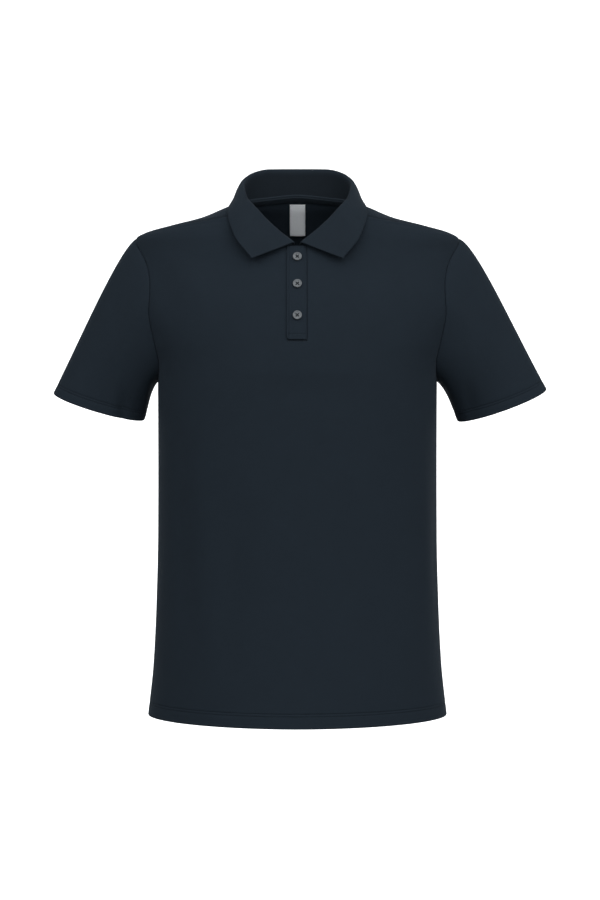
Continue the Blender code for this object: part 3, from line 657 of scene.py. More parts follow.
def shoulderHeight(start, share):
    # height of the shoulder seam, from the armhole's to the neckline's
    return mix(start, neckHeight(bodyForm["shoulderTurn"]), share ** panelForm["seamSpread"])


def panelEdge(isFront):
    # places up the side seam, round the armhole and along the shoulder seam; the mitre at each
    f, p = bodyForm, panelForm
    half = f["seamGap"] / 2 * (-1 if isFront else 1)
    side = sideHeights()
    sideTurn = turnAtY(half, side)
    top = seamRoundTurn() + (0 if isFront else 360)
    fine = np.linspace(180, top, 900)
    finePlace = armholePlace(fine, f["seamGap"] / 2)
    rounds = evenly(fine, bodyPoint(*finePlace), p["armholeRows"])
    armTurn, armZ = armholePlace(rounds, f["seamGap"] / 2)
    share = shoulderShares()
    seamZ = shoulderHeight(armZ[-1], share)
    forward = readTable(f["shoulderSeam"], "share", "forward", share)
    seamTurn = turnAtY(-forward + half * -1, seamZ)
    seamTurn = seamTurn + (f["shoulderTurn"] - seamTurn[-1]) * share ** 3
    seamTurn[0] = armTurn[-1]
    turn = np.concatenate([sideTurn, armTurn[1:], seamTurn[1:]])
    z = np.concatenate([side, armZ[1:], seamZ[1:]])
    seam1, seam2 = len(side) - 1, len(side) - 1 + len(rounds) - 1
    # the mitre with the sleeve holds round the armhole and fades out beyond it
    mitre = np.concatenate([np.full(seam1, 180.0), rounds, np.full(len(share) - 1, top)])
    along = lengthsAlong(bodyPoint(turn, z))
    beyond = np.maximum(np.maximum(along[seam1] - along, along - along[seam2]), 0)
    keep = 1 - ease(beyond / p["mitreFade"])
    return turn, z, mitre, keep, (seam1, seam2)


def middleHeights(side, isFront, rowShares):
    p = panelForm
    upper = mix(bodyForm["underarm"], neckHeight(90), rowShares)
    if isFront:
        levels = (bodyForm["underarm"], p["placketFoot"], openingTop())
        upper = np.interp(rowShares, (0, p["footShare"], 1), levels)
    return np.concatenate([side, upper])


def panelHalf(isFront):
    # grid of places for the wearer's-left half, from its middle edge to its side
    f, p = bodyForm, panelForm
    turn1, z1, mitre, keep, (seam1, seam2) = panelEdge(isFront)
    rows = len(turn1)
    armShare = np.arange(1, seam2 - seam1 + 1) / (seam2 - seam1) * p["armholeShare"]
    rowShares = np.concatenate([armShare, mix(p["armholeShare"], 1, shoulderShares()[1:])])
    z0 = middleHeights(z1[:seam1 + 1], isFront, rowShares)
    turn0 = turnAtX(p["placketHalf"], z0, -1) if isFront else np.full(rows, 90.0)
    rowSag = ease(np.concatenate([np.zeros(seam1 + 1), rowShares]))

    def places(u):
        turn = mix(turn0[:, None], turn1[:, None], u)
        neckTurn = mix(turn0[-1], f["shoulderTurn"], u)
        sag = neckHeight(neckTurn) - mix(z0[-1], neckHeight(f["shoulderTurn"]), u)
        return turn, mix(z0[:, None], z1[:, None], u) + rowSag[:, None] * sag

    near = 0.02
    ends = bodyPoint(*places(np.broadcast_to(np.array([0, near, 1 - near, 1]), (rows, 4))))
    startSpeed = np.linalg.norm(ends[:, 1] - ends[:, 0], axis=1) / near
    endSpeed = np.linalg.norm(ends[:, 3] - ends[:, 2], axis=1) / near
    rim = np.array(p["rimSteps"])
    first = np.concatenate([[0], rim]) if isFront else np.zeros(1)
    low = first[None, :] / startSpeed[:, None]
    high = 1 - np.concatenate([[0], rim])[::-1][None, :] / endSpeed[:, None]
    k = np.linspace(0, 1, p["columns"] + 1)[1:-1]
    u = np.concatenate([low, low[:, -1:] + (high[:, :1] - low[:, -1:]) * k, high], axis=1)
    turn, z = places(u)
    return {"turn": turn, "z": z, "u": u, "mitre": mitre, "keep": keep, "edge": (turn1, z1),
            "seams": (seam1, seam2)}


def grooves(fromEdge, places, depth, halfWidth):
    # shallow furrows that rows of stitching press into the cloth
    return -depth * sum(np.exp(-((fromEdge - at) / halfWidth) ** 2) for at in places)


def panelGrid(isFront):
    f, p = bodyForm, panelForm
    half = panelHalf(isFront)
    turn, z = half["turn"], half["z"]
    plain = bodyPoint(turn, z)
    normals = bodyNormal(turn, z)
    mitre = armholeNormal(half["mitre"])
    share = half["keep"][:, None] * np.clip((half["u"] - p["mitreFrom"]) / (1 - p["mitreFrom"]), 0, 1)
    normals = normals + (mitre[:, None, :] - normals) * share[..., None]
    seam1, seam2 = half["seams"]
    edge = bodyPoint(*half["edge"])
    neck = plain[-1]
    fromArmhole, fromNeck = nearestTo(plain, edge[seam1:seam2 + 1]), nearestTo(plain, neck[::2])
    calm = ease(np.minimum(fromArmhole, fromNeck) / bodyFolds["clearOfSeams"])
    # the first column is a rim only beside the placket's opening
    rim = [edge[::2], neck, plain[0]]
    if isFront:
        foot = int(np.argmin(np.abs(z[:, 0] - p["placketFoot"])))
        rim.append(plain[foot:, 0])
    depth = np.minimum.reduce([nearestTo(plain, line) for line in rim])
    # the front laps over the shoulder seam, and the back lies lower beside it
    fromSeam = nearestTo(plain, edge[seam2:])
    lapShare = ease(fromArmhole / p["lapFade"]) * ease(fromNeck / p["lapUnderCollar"] - 1)
    lap = p["lapRidge"] * np.exp(-((fromSeam - p["lapAt"]) / p["lapHalf"]) ** 2) * lapShare
    shade = np.ones(lap.shape)
    if not isFront:
        lap = -p["lapRecess"] * np.exp(-(fromSeam / p["lapHalf"]) ** 2) * lapShare
        # painted shade on the back beside the shoulder seam, standing in for the shadow of the lap
        shade = 1 - p["lapShade"] * np.exp(-(fromSeam / p["shadeHalf"]) ** 2) * lapShare
    start = np.stack([levelArc(turn, z, -90.0 if isFront else 90.0), z - f["hem"]], axis=-1)
    uv = laidFlat(plain, start)
    return {"turn": turn, "z": z, "normals": normals, "calm": calm, "lap": lap, "depth": depth, "uv": uv,
            "plain": plain, "shade": shade}


def levelArc(turn, z, fromTurn):
    # length round the body at one level, from a turn to another
    k = np.linspace(0, 1, 25)
    line = bodyPoint(fromTurn + (turn[..., None] - fromTurn) * k, z[..., None])
    return np.linalg.norm(np.diff(line, axis=-2), axis=-1).sum(axis=-1)


def mirroredGrid(grid):
    # the wearer's-right half of a grid, its columns reversed
    other = {}
    for key, value in grid.items():
        turned = value[:, ::-1].copy()
        if key in ("normals", "plain", "uv"):
            turned[..., 0] *= -1
        if key == "turn":
            turned = mirroredTurn(turned)
        other[key] = turned
    return other


def finishPanel(name, grid, keep=None):
    # keep tells which cells of the grid are there
    f, p = bodyForm, panelForm
    rise = bodyRise(grid["turn"], grid["z"]) * grid["calm"]
    fromHem = grid["z"] - f["hem"]
    rise = rise + grooves(fromHem, p["hemStitches"], *p["furrow"]) + grid["lap"]
    middle = grid["plain"] + grid["normals"] * rise[..., None]
    keepRows("hem", fromHem, p["hemStitches"], middle, grid["normals"])
    # true directions of the face, because the cells beside the shoulder are long and thin
    true, flat = bodyNormal(grid["turn"], grid["z"]), gridNormals(grid["plain"])
    side = np.sign((flat * true).sum(axis=-1).mean())
    facing = unit(true + (gridNormals(middle) - flat) * side)
    made = clothPiece(name, middle, grid["normals"], hemmedWall(fromHem, f["hemTurn"]), grid["depth"],
                      grid["uv"], pique, hemmedRim(fromHem), keep, grid["shade"], facing)
    print(name, "laid flat:", np.round(np.ptp(grid["uv"].reshape(-1, 2), axis=0), 4))
    return made


def frontPanel():
    p = panelForm
    left = panelGrid(True)
    right = mirroredGrid(left)
    # columns between the two sides of the opening, which are there only below its foot
    z = left["z"][:, :1]
    x = np.linspace(-p["placketHalf"], p["placketHalf"], 9)[1:-1]
    turn = turnAtX(x[None, :], np.broadcast_to(z, (len(z), len(x))), -1)
    z = np.broadcast_to(z, turn.shape)
    plain = bodyPoint(turn, z)
    foot = int(np.argmin(np.abs(z[:, 0] - p["placketFoot"])))
    depth = np.minimum(nearestTo(plain, plain[0]), nearestTo(plain, plain[foot]))
    uvX = np.broadcast_to(x, turn.shape)
    uvY = np.broadcast_to(left["uv"][:, :1, 1], turn.shape)
    middle = {"turn": turn, "z": z, "plain": plain, "normals": bodyNormal(turn, z),
              "calm": np.ones(turn.shape), "lap": np.zeros(turn.shape), "depth": depth,
              "uv": np.stack([uvX, uvY], axis=-1), "shade": np.ones(turn.shape)}
    grid = {key: np.concatenate([right[key], middle[key], left[key]], axis=1) for key in middle}
    rows, columns = grid["z"].shape
    keep = np.ones((rows - 1, columns - 1), bool)
    first = left["z"].shape[1] - 1
    keep[foot:, first:first + len(x) + 1] = False
    return finishPanel("frontPanel", grid, keep)


def backPanel():
    left = panelGrid(False)
    right = mirroredGrid(left)
    grid = {key: np.concatenate([right[key][:, :-1], left[key]], axis=1) for key in left}
    return finishPanel("backPanel", grid)


# sleeves

sleeveForm = {
    # the middle of each cuff, out from the middle plane and down, its swing away from level and the
    # lean of the outer line in degrees, and how far the cloth over the shoulder's tip is lifted
    "arms": {
        "sleeveLeft": {"side": 1, "cuffOut": 0.2730, "cuffZ": -0.2780, "swing": 20.3, "lean": 29.5,
                       "lift": 0.018},
        "sleeveRight": {"side": -1, "cuffOut": 0.2650, "cuffZ": -0.2800, "swing": 17.0, "lean": 26.5,
                        "lift": -0.010},
    },
    "evenArm": {"side": 1, "cuffOut": 0.2690, "cuffZ": -0.2790, "swing": 18.7, "lean": 28.0, "lift": 0.004},
    "leaves": asTable(("turn", "out", "back", "up"), (
        (0, 0.068, 0.000, -0.030), (45, 0.072, -0.012, -0.048), (90, 0.070, -0.004, -0.058),
        (135, 0.052, 0.010, -0.028), (180, 0.036, 0.000, 0.000), (225, 0.052, -0.004, -0.026),
        (270, 0.070, 0.012, -0.058), (315, 0.072, 0.018, -0.048), (360, 0.068, 0.000, -0.030),
    )),
    "arrivesTop": 0.250,
    "arrivesUnder": 0.050,
    "leanUnder": 22.6,
    "cuffHalfWidth": 0.0632,
    "cuffHalfDepth": 0.0420,
    "cuffBack": 0.008,
    "cuffBackward": 10.5,
    "cuffTurn": 0.016,
    "stitches": (0.0153, 0.0122),
    "columns": 150,
    "rows": 62,
    "mitre": 0.012,                # the walls' directions blend over this beside the armhole
    "calmNear": 0.020,             # creases fade out this near the armhole
    "foldRadius": 0.065,           # turns round the arm count as lengths at this radius
    # creases: turn round the arm and distance down from the armhole, end to end
    "folds": {
        "sleeveRight": asTable(("turn0", "down0", "turn1", "down1", "deepest", "halfWidth", "rise"), (
            (112, 0.070, 140, 0.120, 0.50, 0.0110, -0.0030),
            (96, 0.060, 118, 0.135, 0.50, 0.0130, 0.0016),
            (40, 0.020, 62, 0.100, 0.50, 0.0170, -0.0014),
            (232, 0.055, 214, 0.115, 0.50, 0.0120, -0.0022),
            (290, 0.030, 262, 0.120, 0.50, 0.0160, -0.0016),
        )),
        "sleeveLeft": asTable(("turn0", "down0", "turn1", "down1", "deepest", "halfWidth", "rise"), (
            (118, 0.050, 138, 0.105, 0.50, 0.0140, -0.0022),
            (60, 0.020, 74, 0.090, 0.50, 0.0160, -0.0012),
            (228, 0.050, 208, 0.110, 0.50, 0.0130, -0.0024),
            (300, 0.030, 270, 0.125, 0.45, 0.0170, -0.0015),
        )),
    },
}


def cuffPoint(arm, roundTurn):
    s = sleeveForm
    swing, backward = math.radians(arm["swing"]), math.radians(s["cuffBackward"])
    across = np.array([math.cos(swing), 0, math.sin(swing)])
    down = np.array([math.sin(swing), 0, -math.cos(swing)])
    forward = np.array([0.0, -1, 0]) * math.cos(backward) + down * math.sin(backward)
    angle = np.radians(roundTurn)[..., None]
    centre = np.array([arm["cuffOut"], s["cuffBack"], arm["cuffZ"]])
    return centre + across * s["cuffHalfWidth"] * np.cos(angle) + forward * s["cuffHalfDepth"] * np.sin(angle)


def sleevePoint(arm, roundTurn, share):
    s = sleeveForm
    roundTurn, k = np.broadcast_arrays(np.asarray(roundTurn, float) % 360, np.asarray(share, float))
    start = bodyPoint(*armholePlace(roundTurn))
    end = cuffPoint(arm, roundTurn)
    leaves = np.stack([readTable(s["leaves"], "turn", name, roundTurn) for name in ("out", "back", "up")],
                      axis=-1)
    upper = (1 + np.cos(np.radians(roundTurn))) / 2
    leaves[..., 2] += arm["lift"] * upper ** 4
    lean = np.radians(mix(s["leanUnder"], arm["lean"], upper))
    reach = mix(s["arrivesUnder"], s["arrivesTop"], upper)
    arrives = np.stack([np.sin(lean) * reach, np.zeros_like(lean), -np.cos(lean) * reach], axis=-1)
    k = k[..., None]
    return (start * (1 + 2 * k) * (1 - k) ** 2 + leaves * k * (1 - k) ** 2
            + end * k * k * (3 - 2 * k) - arrives * k * k * (1 - k))


def sleeveNormal(arm, roundTurn, share):
    near = np.where(share < 0.5, share, share - 0.01)
    alongArm = sleevePoint(arm, roundTurn, near + 0.01) - sleevePoint(arm, roundTurn, near)
    around = sleevePoint(arm, roundTurn - 1, share) - sleevePoint(arm, roundTurn + 1, share)
    return unit(np.cross(alongArm, around))


def armholeNormal(roundTurn):
    # halfway between the normals of body and sleeve, and longer where the two turn
    body = bodyNormal(*armholePlace(roundTurn))
    arm = sleeveNormal(sleeveForm["evenArm"], roundTurn, np.zeros(np.shape(roundTurn)))
    return (body + arm) / (1 + (body * arm).sum(axis=-1, keepdims=True))


def sleeveTurns(arm):
    # turns from the seam under the arm over the front to the top, and down the back to the seam again
    gap, rim = bodyForm["seamGap"] / 2, np.array(panelForm["rimSteps"])
    fine = np.linspace(180, -180, 1441)
    ring = sleevePoint(arm, fine % 360, np.full(fine.shape, 0.45))
    rounds = evenly(fine, ring, sleeveForm["columns"])
    nearSeam = np.interp(np.concatenate([[gap], gap + rim]), lengthsAlong(ring), fine)
    return np.concatenate([nearSeam, rounds[2:-2], -nearSeam[::-1]])


def sleeveShares(arm, rounds):
    # shares down the sleeve for each row and turn, with the lengths from the armhole and to the cuff
    s = sleeveForm
    rim = np.array(panelForm["rimSteps"])
    shareLine = np.linspace(0, 1, 241)
    runs = lengthsTable(sleevePoint(arm, (rounds % 360)[:, None], shareLine[None, :]), 1)
    fromCuff = np.array(hemSteps(s["cuffTurn"], panelForm["rimSteps"], s["stitches"]))[::-1]
    first = bodyForm["seamGap"] / 2 + np.concatenate([[0], rim])
    k = (np.linspace(0, 1, s["rows"] + 1)[1:-1]) ** 1.1
    rows = []
    for run in runs:
        last = run[-1] - fromCuff
        regular = first[-1] + (last[0] - first[-1]) * k
        rows.append(np.interp(np.concatenate([first, regular, last]), run, shareLine))
    share = np.array(rows).T
    down = np.array([np.interp(line, shareLine, run) for line, run in zip(share.T, runs)]).T
    return share, down, runs[:, -1][None, :] - down


def sleeveCut(plain, down, top):
    # each side is laid flat from the line over the top of the arm
    flat = np.empty(plain.shape[:2] + (2,))
    for part, sign in ((slice(top, None), 1), (slice(top, None, -1), -1)):
        grid = plain[:, part]
        laid = laidFlat(grid, np.stack([lengthsTable(grid, 1), down[:, part]], axis=-1))
        laid[..., 0] *= sign
        flat[:, part] = laid
    return flat


def sleeve(name):
    s = sleeveForm
    arm = s["arms"][name]
    rounds = sleeveTurns(arm)
    share, down, toCuff = sleeveShares(arm, rounds)
    turn = np.broadcast_to((rounds % 360)[None, :], share.shape)
    plain = sleevePoint(arm, turn, share)
    normals = sleeveNormal(arm, turn, share)
    toMitre = np.clip(1 - down / s["mitre"], 0, 1)[..., None]
    normals = normals + (armholeNormal(rounds % 360)[None] - normals) * toMitre
    roundArm = math.pi / 180 * s["foldRadius"]
    folds = dict(s["folds"][name])
    for key in ("turn0", "turn1"):
        folds[key] = folds[key] * roundArm
    rise = foldRise(turn * roundArm, down, folds) * ease(down / s["calmNear"])
    rise = rise + grooves(toCuff, s["stitches"], *panelForm["furrow"])
    middle = plain + normals * rise[..., None]
    depth = np.minimum.reduce([down - down[:1], toCuff, nearestTo(plain, plain[::2, 0]),
                               nearestTo(plain, plain[::2, -1])])
    flat = sleeveCut(plain, down, int(np.argmin(np.abs(rounds))))
    print(name, "laid flat:", np.round(np.ptp(flat.reshape(-1, 2), axis=0), 4))
    for grid in (middle, normals, flat):
        grid[..., 0] *= arm["side"]
    keepRows("cuffs", toCuff, s["stitches"], middle, normals)
    return clothPiece(name, middle, normals, hemmedWall(toCuff, s["cuffTurn"]), depth, flat, pique,
                      hemmedRim(toCuff))


front = frontPanel()
back = backPanel()
sleeves = {name: sleeve(name) for name in sleeveForm["arms"]}
print("front, back and sleeves made")
for piece, node in ((front, "front_panel"), (back, "back_panel"),
                    (sleeves["sleeveLeft"], "sleeve_left"), (sleeves["sleeveRight"], "sleeve_right")):
    dress(piece, node)


# the collar: one knitted piece, stand, fold and fall

collarForm = {
    "wall": 0.0019,
    "roll": 0.0024,                # radius of the fold, at the middle of the wall
    "rest": 0.0008,                # air between the fall and what it rests on
    "bow": 0.07,                   # how far the fall bows out, as a share of its length
    "sink": 0.0030,                # the stand reaches this far below the neckline
    "standGap": 0.0006,
    "standEnds": 0.88,             # share of the half from which the stand runs out
    "overBand": 0.0020,            # the fall rises by this over the placket's band, and falls off again
    "bandFade": 0.004,
    "softStart": 0.006,            # the fall comes to rest on the chest over this much air
    "softRounds": 40,              # how far shifts are shared along the collar, and down the fall
    "softRows": 6,
    "standShade": 0.56,            # painted shade: how dark the stand is painted inside the neck, and how far from the fold that starts
    "shadeFrom": 0.002,
    "shadeOver": 0.009,
    "halfStations": 112,
    "standSteps": 13,
    "rollSteps": 9,
    "fallSteps": 26,
    "rimSteps": (0.0004, 0.0009, 0.0016),
    "selfEdge": 0.0042,            # a firmer row along the rim of the fall
    "furrow": (0.00018, 0.0007),
    # share of the half from the middle of the back: where the neckline is met, the fold and the edge
    "stations": asTable(("share", "turn", "foldX", "foldY", "foldZ", "edgeX", "edgeY", "edgeZ"), (
        (-0.16, 122, -0.0370, 0.0560, 0.0450, -0.0500, 0.0730, 0.0000),
        (0.00, 90, 0.0000, 0.0620, 0.0461, 0.0000, 0.0790, 0.0030),
        (0.16, 58, 0.0370, 0.0560, 0.0450, 0.0500, 0.0730, 0.0000),
        (0.32, 28, 0.0630, 0.0340, 0.0335, 0.0770, 0.0415, -0.0055),
        (0.47, 0, 0.0705, 0.0010, 0.0160, 0.0848, -0.0030, -0.0105),
        (0.61, -26, 0.0670, -0.0330, -0.0060, 0.0900, -0.0530, -0.0315),
        (0.78, -52, 0.0465, -0.0610, -0.0340, 0.0810, -0.0850, -0.0630),
        (1.00, -86, 0.0035, -0.0845, -0.0730, 0.0580, -0.1010, -0.0950),
    )),
}


def collarPlace(share):
    def read(*names):
        return np.stack([readTable(collarForm["stations"], "share", name, share) for name in names], axis=-1)
    return read("turn")[..., 0], read("foldX", "foldY", "foldZ"), read("edgeX", "edgeY", "edgeZ")


def levelOut(turn):
    normal = bodyNormal(turn, neckHeight(turn))
    normal[..., 2] = 0
    return unit(normal)


def standFoot(share):
    c = collarForm
    turn, fold, _ = collarPlace(share)
    out = levelOut(turn)
    foot = bodyPoint(turn, neckHeight(turn)) - out * (bodyForm["cloth"] + c["standGap"] + c["wall"] / 2)
    runOut = ease((share - c["standEnds"]) / (0.97 - c["standEnds"]))
    tucked = fold - out * 2 * c["roll"] - np.array([0, 0, c["roll"]])
    return mix(foot, tucked, runOut[..., None]), c["sink"] * (1 - runOut) * (1 - 0.6 * share)


def offBody(points, clearance, soft=0.0):
    # points moved out where they lie nearer to the body than the clearance, with a soft start
    points = points.copy()
    wanted = None
    for _ in range(5):
        turn = np.degrees(np.arctan2(points[..., 1], points[..., 0]))
        normal = bodyNormal(turn, points[..., 2])
        gap = ((points - bodyPoint(turn, points[..., 2])) * normal).sum(axis=-1)
        if wanted is None:
            short = clearance - gap
            eased = np.clip(short + soft, 0, 2 * soft) ** 2 / (4 * soft) if soft else 0
            wanted = gap + np.where(short < soft, eased, short)
            wanted = np.where(points[..., 2] > bodyForm["sections"]["z"][-1], gap, np.maximum(wanted, gap))
        points += normal * (wanted - gap)[..., None]
    return points


def collarClearance(x):
    overBand = collarForm["overBand"] * (1 - ease((x - panelForm["placketHalf"]) / collarForm["bandFade"]))
    return collarForm["wall"] / 2 + collarForm["rest"] + overBand


def collarLines(share):
    # the middle of the wall at each share, from the stand's foot over the fold to the edge
    c = collarForm
    _, fold, edge = collarPlace(share)
    foot, sink = standFoot(share)

    def roll(fold):
        up = unit(softened(unit(fold - foot), c["softRounds"]))
        fall = unit(edge - fold)
        out = unit(fall - up * (fall * up).sum(axis=-1, keepdims=True))
        angle = np.arccos(np.clip((up * fall).sum(axis=-1), -1, 1))
        return fold - up * c["roll"], up, out, angle

    def onRoll(top, up, out, angle):
        return top + (out * (1 - np.cos(angle))[..., None] + up * np.sin(angle)[..., None]) * c["roll"]

    for _ in range(3):
        start = onRoll(*roll(fold))
        fold = fold + softened(offBody(start, collarClearance(start[..., 0])) - start, c["softRounds"])
    top, up, out, angle = roll(fold)
    line = [foot - np.array([0, 0, 1]) * (sink * k)[..., None] for k in (1, 0.5)]
    line += [mix(foot, top, k) for k in np.linspace(0, 1, c["standSteps"])]
    line += [onRoll(top, up, out, angle * k) for k in np.linspace(0, 1, c["rollSteps"] + 1)[1:-1]]
    start = onRoll(top, up, out, angle)
    bow = out * np.linalg.norm(edge - start, axis=-1)[..., None] * c["bow"]
    k = np.linspace(0, 1, c["fallSteps"])[:, None, None]
    fall = mix(start, edge, k) + bow * (4 * k * (1 - k))
    shift = offBody(fall, collarClearance(fall[..., 0]), c["softStart"]) - fall
    shift = softened(shift, c["softRows"]).swapaxes(0, 1)
    fall = fall.swapaxes(0, 1) + softened(shift, c["softRounds"])
    return np.concatenate([np.stack(line, axis=1), fall], axis=1)


def withRims(grid, rim, axis):
    # lines of points added near both ends of each line, at set distances from the end
    grid = np.moveaxis(grid, axis, 0)
    lengths = lengthsTable(grid, 0)
    total = lengths[-1]
    rim = np.array(rim)[:, None]
    clear = rim[-1, 0] * 1.8
    regular = np.linspace(clear, total - clear, len(lengths) - 2)
    wanted = np.concatenate([0 * total[None], rim + 0 * total, regular, total - rim[::-1], total[None]])
    made = np.empty((len(wanted),) + grid.shape[1:])
    for j in range(grid.shape[1]):
        for k in range(grid.shape[2]):
            made[:, j, k] = np.interp(wanted[:, j], lengths[:, j], grid[:, j, k])
    return np.moveaxis(made, 0, axis)


def collar():
    c = collarForm
    share = np.linspace(0, 1, c["halfStations"] + 1)
    middle = withRims(withRims(bothSides(collarLines(share)), c["rimSteps"], 1), c["rimSteps"], 0)
    normals = gridNormals(middle)
    across, along = lengthsTable(middle, 1), lengthsTable(middle, 0)
    fromEdge = across[:, -1:] - across
    rise = grooves(fromEdge, (c["selfEdge"],), *c["furrow"])
    outer = middle + normals * (c["wall"] / 2 + rise)[..., None]
    fold = along[:, along.shape[1] // 2]
    uv = np.stack([np.broadcast_to((fold - fold[-1] / 2)[:, None], across.shape), fromEdge], axis=-1)
    highest = np.take_along_axis(across, middle[..., 2].argmax(axis=1)[:, None], axis=1)
    # painted shade: the stand's inner side below the fold is darkened, standing in for the shade inside the
    # neck
    shade = mix(1.0, c["standShade"], ease((highest - across - c["shadeFrom"]) / c["shadeOver"]))
    made = clothPiece("collarRib", outer, normals, c["wall"], rimDistance(middle), uv, ribKnit,
                      bodyForm["rim"], shade=shade)
    print("collar laid flat:", round(float(fold[-1]), 4), round(float(across[:, -1].max()), 4))
    return made


# the placket: the top band from the wearer's left lies on the under band

placketForm = {
    "lap": 0.0010,                 # the top band passes the opening's free edge by this
    "layerGap": 0.0005,
    "underLap": 0.0020,
    "rim": 0.0009,
    "top": -0.0772,
    "cornerRadius": 0.0042,        # the top band's lower corner at its free edge
    "proudTo": 0.0070,             # the band sinks from here to its seam
    "proudFade": 0.0058,
    "edgeStitch": 0.0030,          # rows of stitching, from the free edge, the top and the foot
    "topStitch": 0.0022,
    "boxStitch": 0.0074,
    "furrow": (0.00024, 0.0006),
    "rowEnd": 0.0105,              # where the rows across the band end
    "rimSteps": (0.0003, 0.0007, 0.0012),
    "columns": 46,
    "rows": 190,
}


def onFront(x, z, offset):
    turn = turnAtX(x, z, -1)
    normals = bodyNormal(turn, z)
    return bodyPoint(turn, z) + normals * (offset + bodyRise(turn, z))[..., None], normals


def bandRise(x):
    p = placketForm
    proud = bodyForm["cloth"] + p["layerGap"]
    return proud * (1 - ease((x - p["proudTo"]) / p["proudFade"]))


def rimmed(low, high, rim, count):
    # places from low to high, fine at both ends
    rim = np.array(rim)
    inside = np.linspace(low + rim[-1] * 1.8, high - rim[-1] * 1.8, count)
    return np.concatenate([[low], low + rim, inside, high - rim[::-1], [high]])


def placketBand(name, fromX, toX, drop, isTop):
    p = placketForm
    x = rimmed(fromX, toX, p["rimSteps"], p["columns"])
    low = panelForm["placketFoot"] + p["layerGap"]
    k = (rimmed(low, p["top"], p["rimSteps"], p["rows"]) - low) / (p["top"] - low)
    foot = np.full(x.shape, low)
    if isTop:
        near = np.clip(p["cornerRadius"] - (x - fromX), 0, None)
        foot = low + p["cornerRadius"] - np.sqrt(p["cornerRadius"] ** 2 - near ** 2)
    x = np.broadcast_to(x, (len(k), len(x)))
    z = mix(foot[None, :], p["top"], k[:, None])
    rise = bandRise(x) - drop
    if isTop:
        for away, at in ((x - fromX, "edgeStitch"), (z - low, "boxStitch"), (p["top"] - z, "topStitch")):
            rise = rise + grooves(away, (p[at],), *p["furrow"])
        side, box, top = fromX + p["edgeStitch"], low + p["boxStitch"], p["top"] - p["topStitch"]
        for start, end in (((side, low + p["edgeStitch"]), (side, p["top"] - 0.0008)),
                           ((side, box), (p["rowEnd"], box)), ((side, top), (p["rowEnd"], top))):
            line = mix(np.array(start), np.array(end), np.linspace(0, 1, 60)[:, None])
            keepLine("placket", *onFront(line[:, 0], line[:, 1], bandRise(line[:, 0]) - p["furrow"][0]))
    outer, normals = onFront(x, z, rise)
    uv = np.stack([x, z], axis=-1)
    return clothPiece(name, outer, normals, bodyForm["cloth"], rimDistance(outer), uv, pique, p["rim"])


# inside the neck: tape over the seam, and the blank label

neckForm = {
    "tapeWall": 0.0010,
    "overStand": 0.0010,
    "onBack": 0.0082,
    "share": 0.40,
    "labelWidth": 0.0215,
    "labelBelow": 0.0030,
    "labelDrop": 0.0392,
    "labelWall": 0.0010,
    "tapeRim": 0.0007,
    "labelRim": 0.0006,
    "labelStitch": 0.0014,         # row of stitching inside the label's edge
    "rollRise": 0.0006,            # the tape's upper edge is rolled
    "rollAt": 0.0012,
    "rollHalf": 0.0010,
    "upperStitch": 0.0030,
    "lowerStitch": 0.0015,
    "upperFurrow": (0.00025, 0.0006),
    "lowerFurrow": (0.0002, 0.0006),
    "labelFurrow": (0.00012, 0.0004),
    "labelLoose": 0.0016,          # the label's foot stands off the back by this
    "tapeSteps": (0.00025, 0.0006, 0.0011),
    "labelSteps": (0.0002, 0.0005, 0.0009),
}

tapeCotton = clothMaterial("tapeNavy", clothColours["tape"], 0.0011, 0.0008, 0.00010, 0.20, 0.05)
labelSatin = clothMaterial("labelGrey", clothColours["label"], 0.0005, 0.0004, 0.00003, 0.10, 0.0)


def belowNeckline(turn, distance):
    # heights where the body lies a distance below the neckline, along its surface
    z = neckHeight(turn)
    fine = z[..., None] - np.linspace(0, 0.08, 401)
    line = bodyPoint(turn[..., None], fine)
    run = np.linalg.norm(line - line[..., :1, :], axis=-1)
    return np.take_along_axis(fine, np.argmax(run >= distance, axis=-1)[..., None], axis=-1)[..., 0]


def tapeLines(share):
    n, c = neckForm, collarForm
    turn = collarPlace(share)[0]
    foot = standFoot(share)[0]
    up = np.array([0, 0, 1.0])
    upper = foot - levelOut(turn) * (c["wall"] / 2 + placketForm["layerGap"]) + up * n["overStand"]
    middle = upper - up * (n["overStand"] + c["sink"])
    z = belowNeckline(turn, n["onBack"])
    lower = bodyPoint(turn, z) - bodyNormal(turn, z) * (bodyForm["cloth"] + placketForm["layerGap"])
    line = [mix(upper, middle, k) for k in np.linspace(0, 1, 9)[:-1]]
    line += [mix(middle, lower, k) for k in np.linspace(0, 1, 19)]
    return np.stack(line, axis=1)


def neckTape():
    n = neckForm
    nearBack = bothSides(tapeLines(np.linspace(0, n["share"], 60)))
    nearBack = withRims(withRims(nearBack, n["tapeSteps"], 1), n["tapeSteps"], 0)
    normals = gridNormals(nearBack)
    across, along = lengthsTable(nearBack, 1), lengthsTable(nearBack, 0)
    fromLow = across[:, -1:] - across
    pressed = n["rollRise"] * np.exp(-((across - n["rollAt"]) / n["rollHalf"]) ** 2)
    pressed = pressed + grooves(across, (n["upperStitch"],), *n["upperFurrow"])
    pressed = pressed + grooves(fromLow, (n["lowerStitch"],), *n["lowerFurrow"])
    wall = n["tapeWall"] + pressed
    outer = nearBack + normals * wall[..., None]
    for place, at in ((across, n["upperStitch"]), (fromLow, n["lowerStitch"])):
        column = int(np.argmin(np.abs(place[len(place) // 2] - at)))
        keepLine("tape", outer[4:-4, column], normals[4:-4, column])
    uv = np.stack([along, across], axis=-1)
    return clothPiece("neckTape", outer, normals, wall, rimDistance(nearBack), uv, tapeCotton, n["tapeRim"])


def labelLoose(x, z, top):
    n = neckForm
    across = 0.6 + 0.4 * np.cos(x / n["labelWidth"] * math.pi)
    return n["labelLoose"] * ease((top - z) / n["labelDrop"]) * across


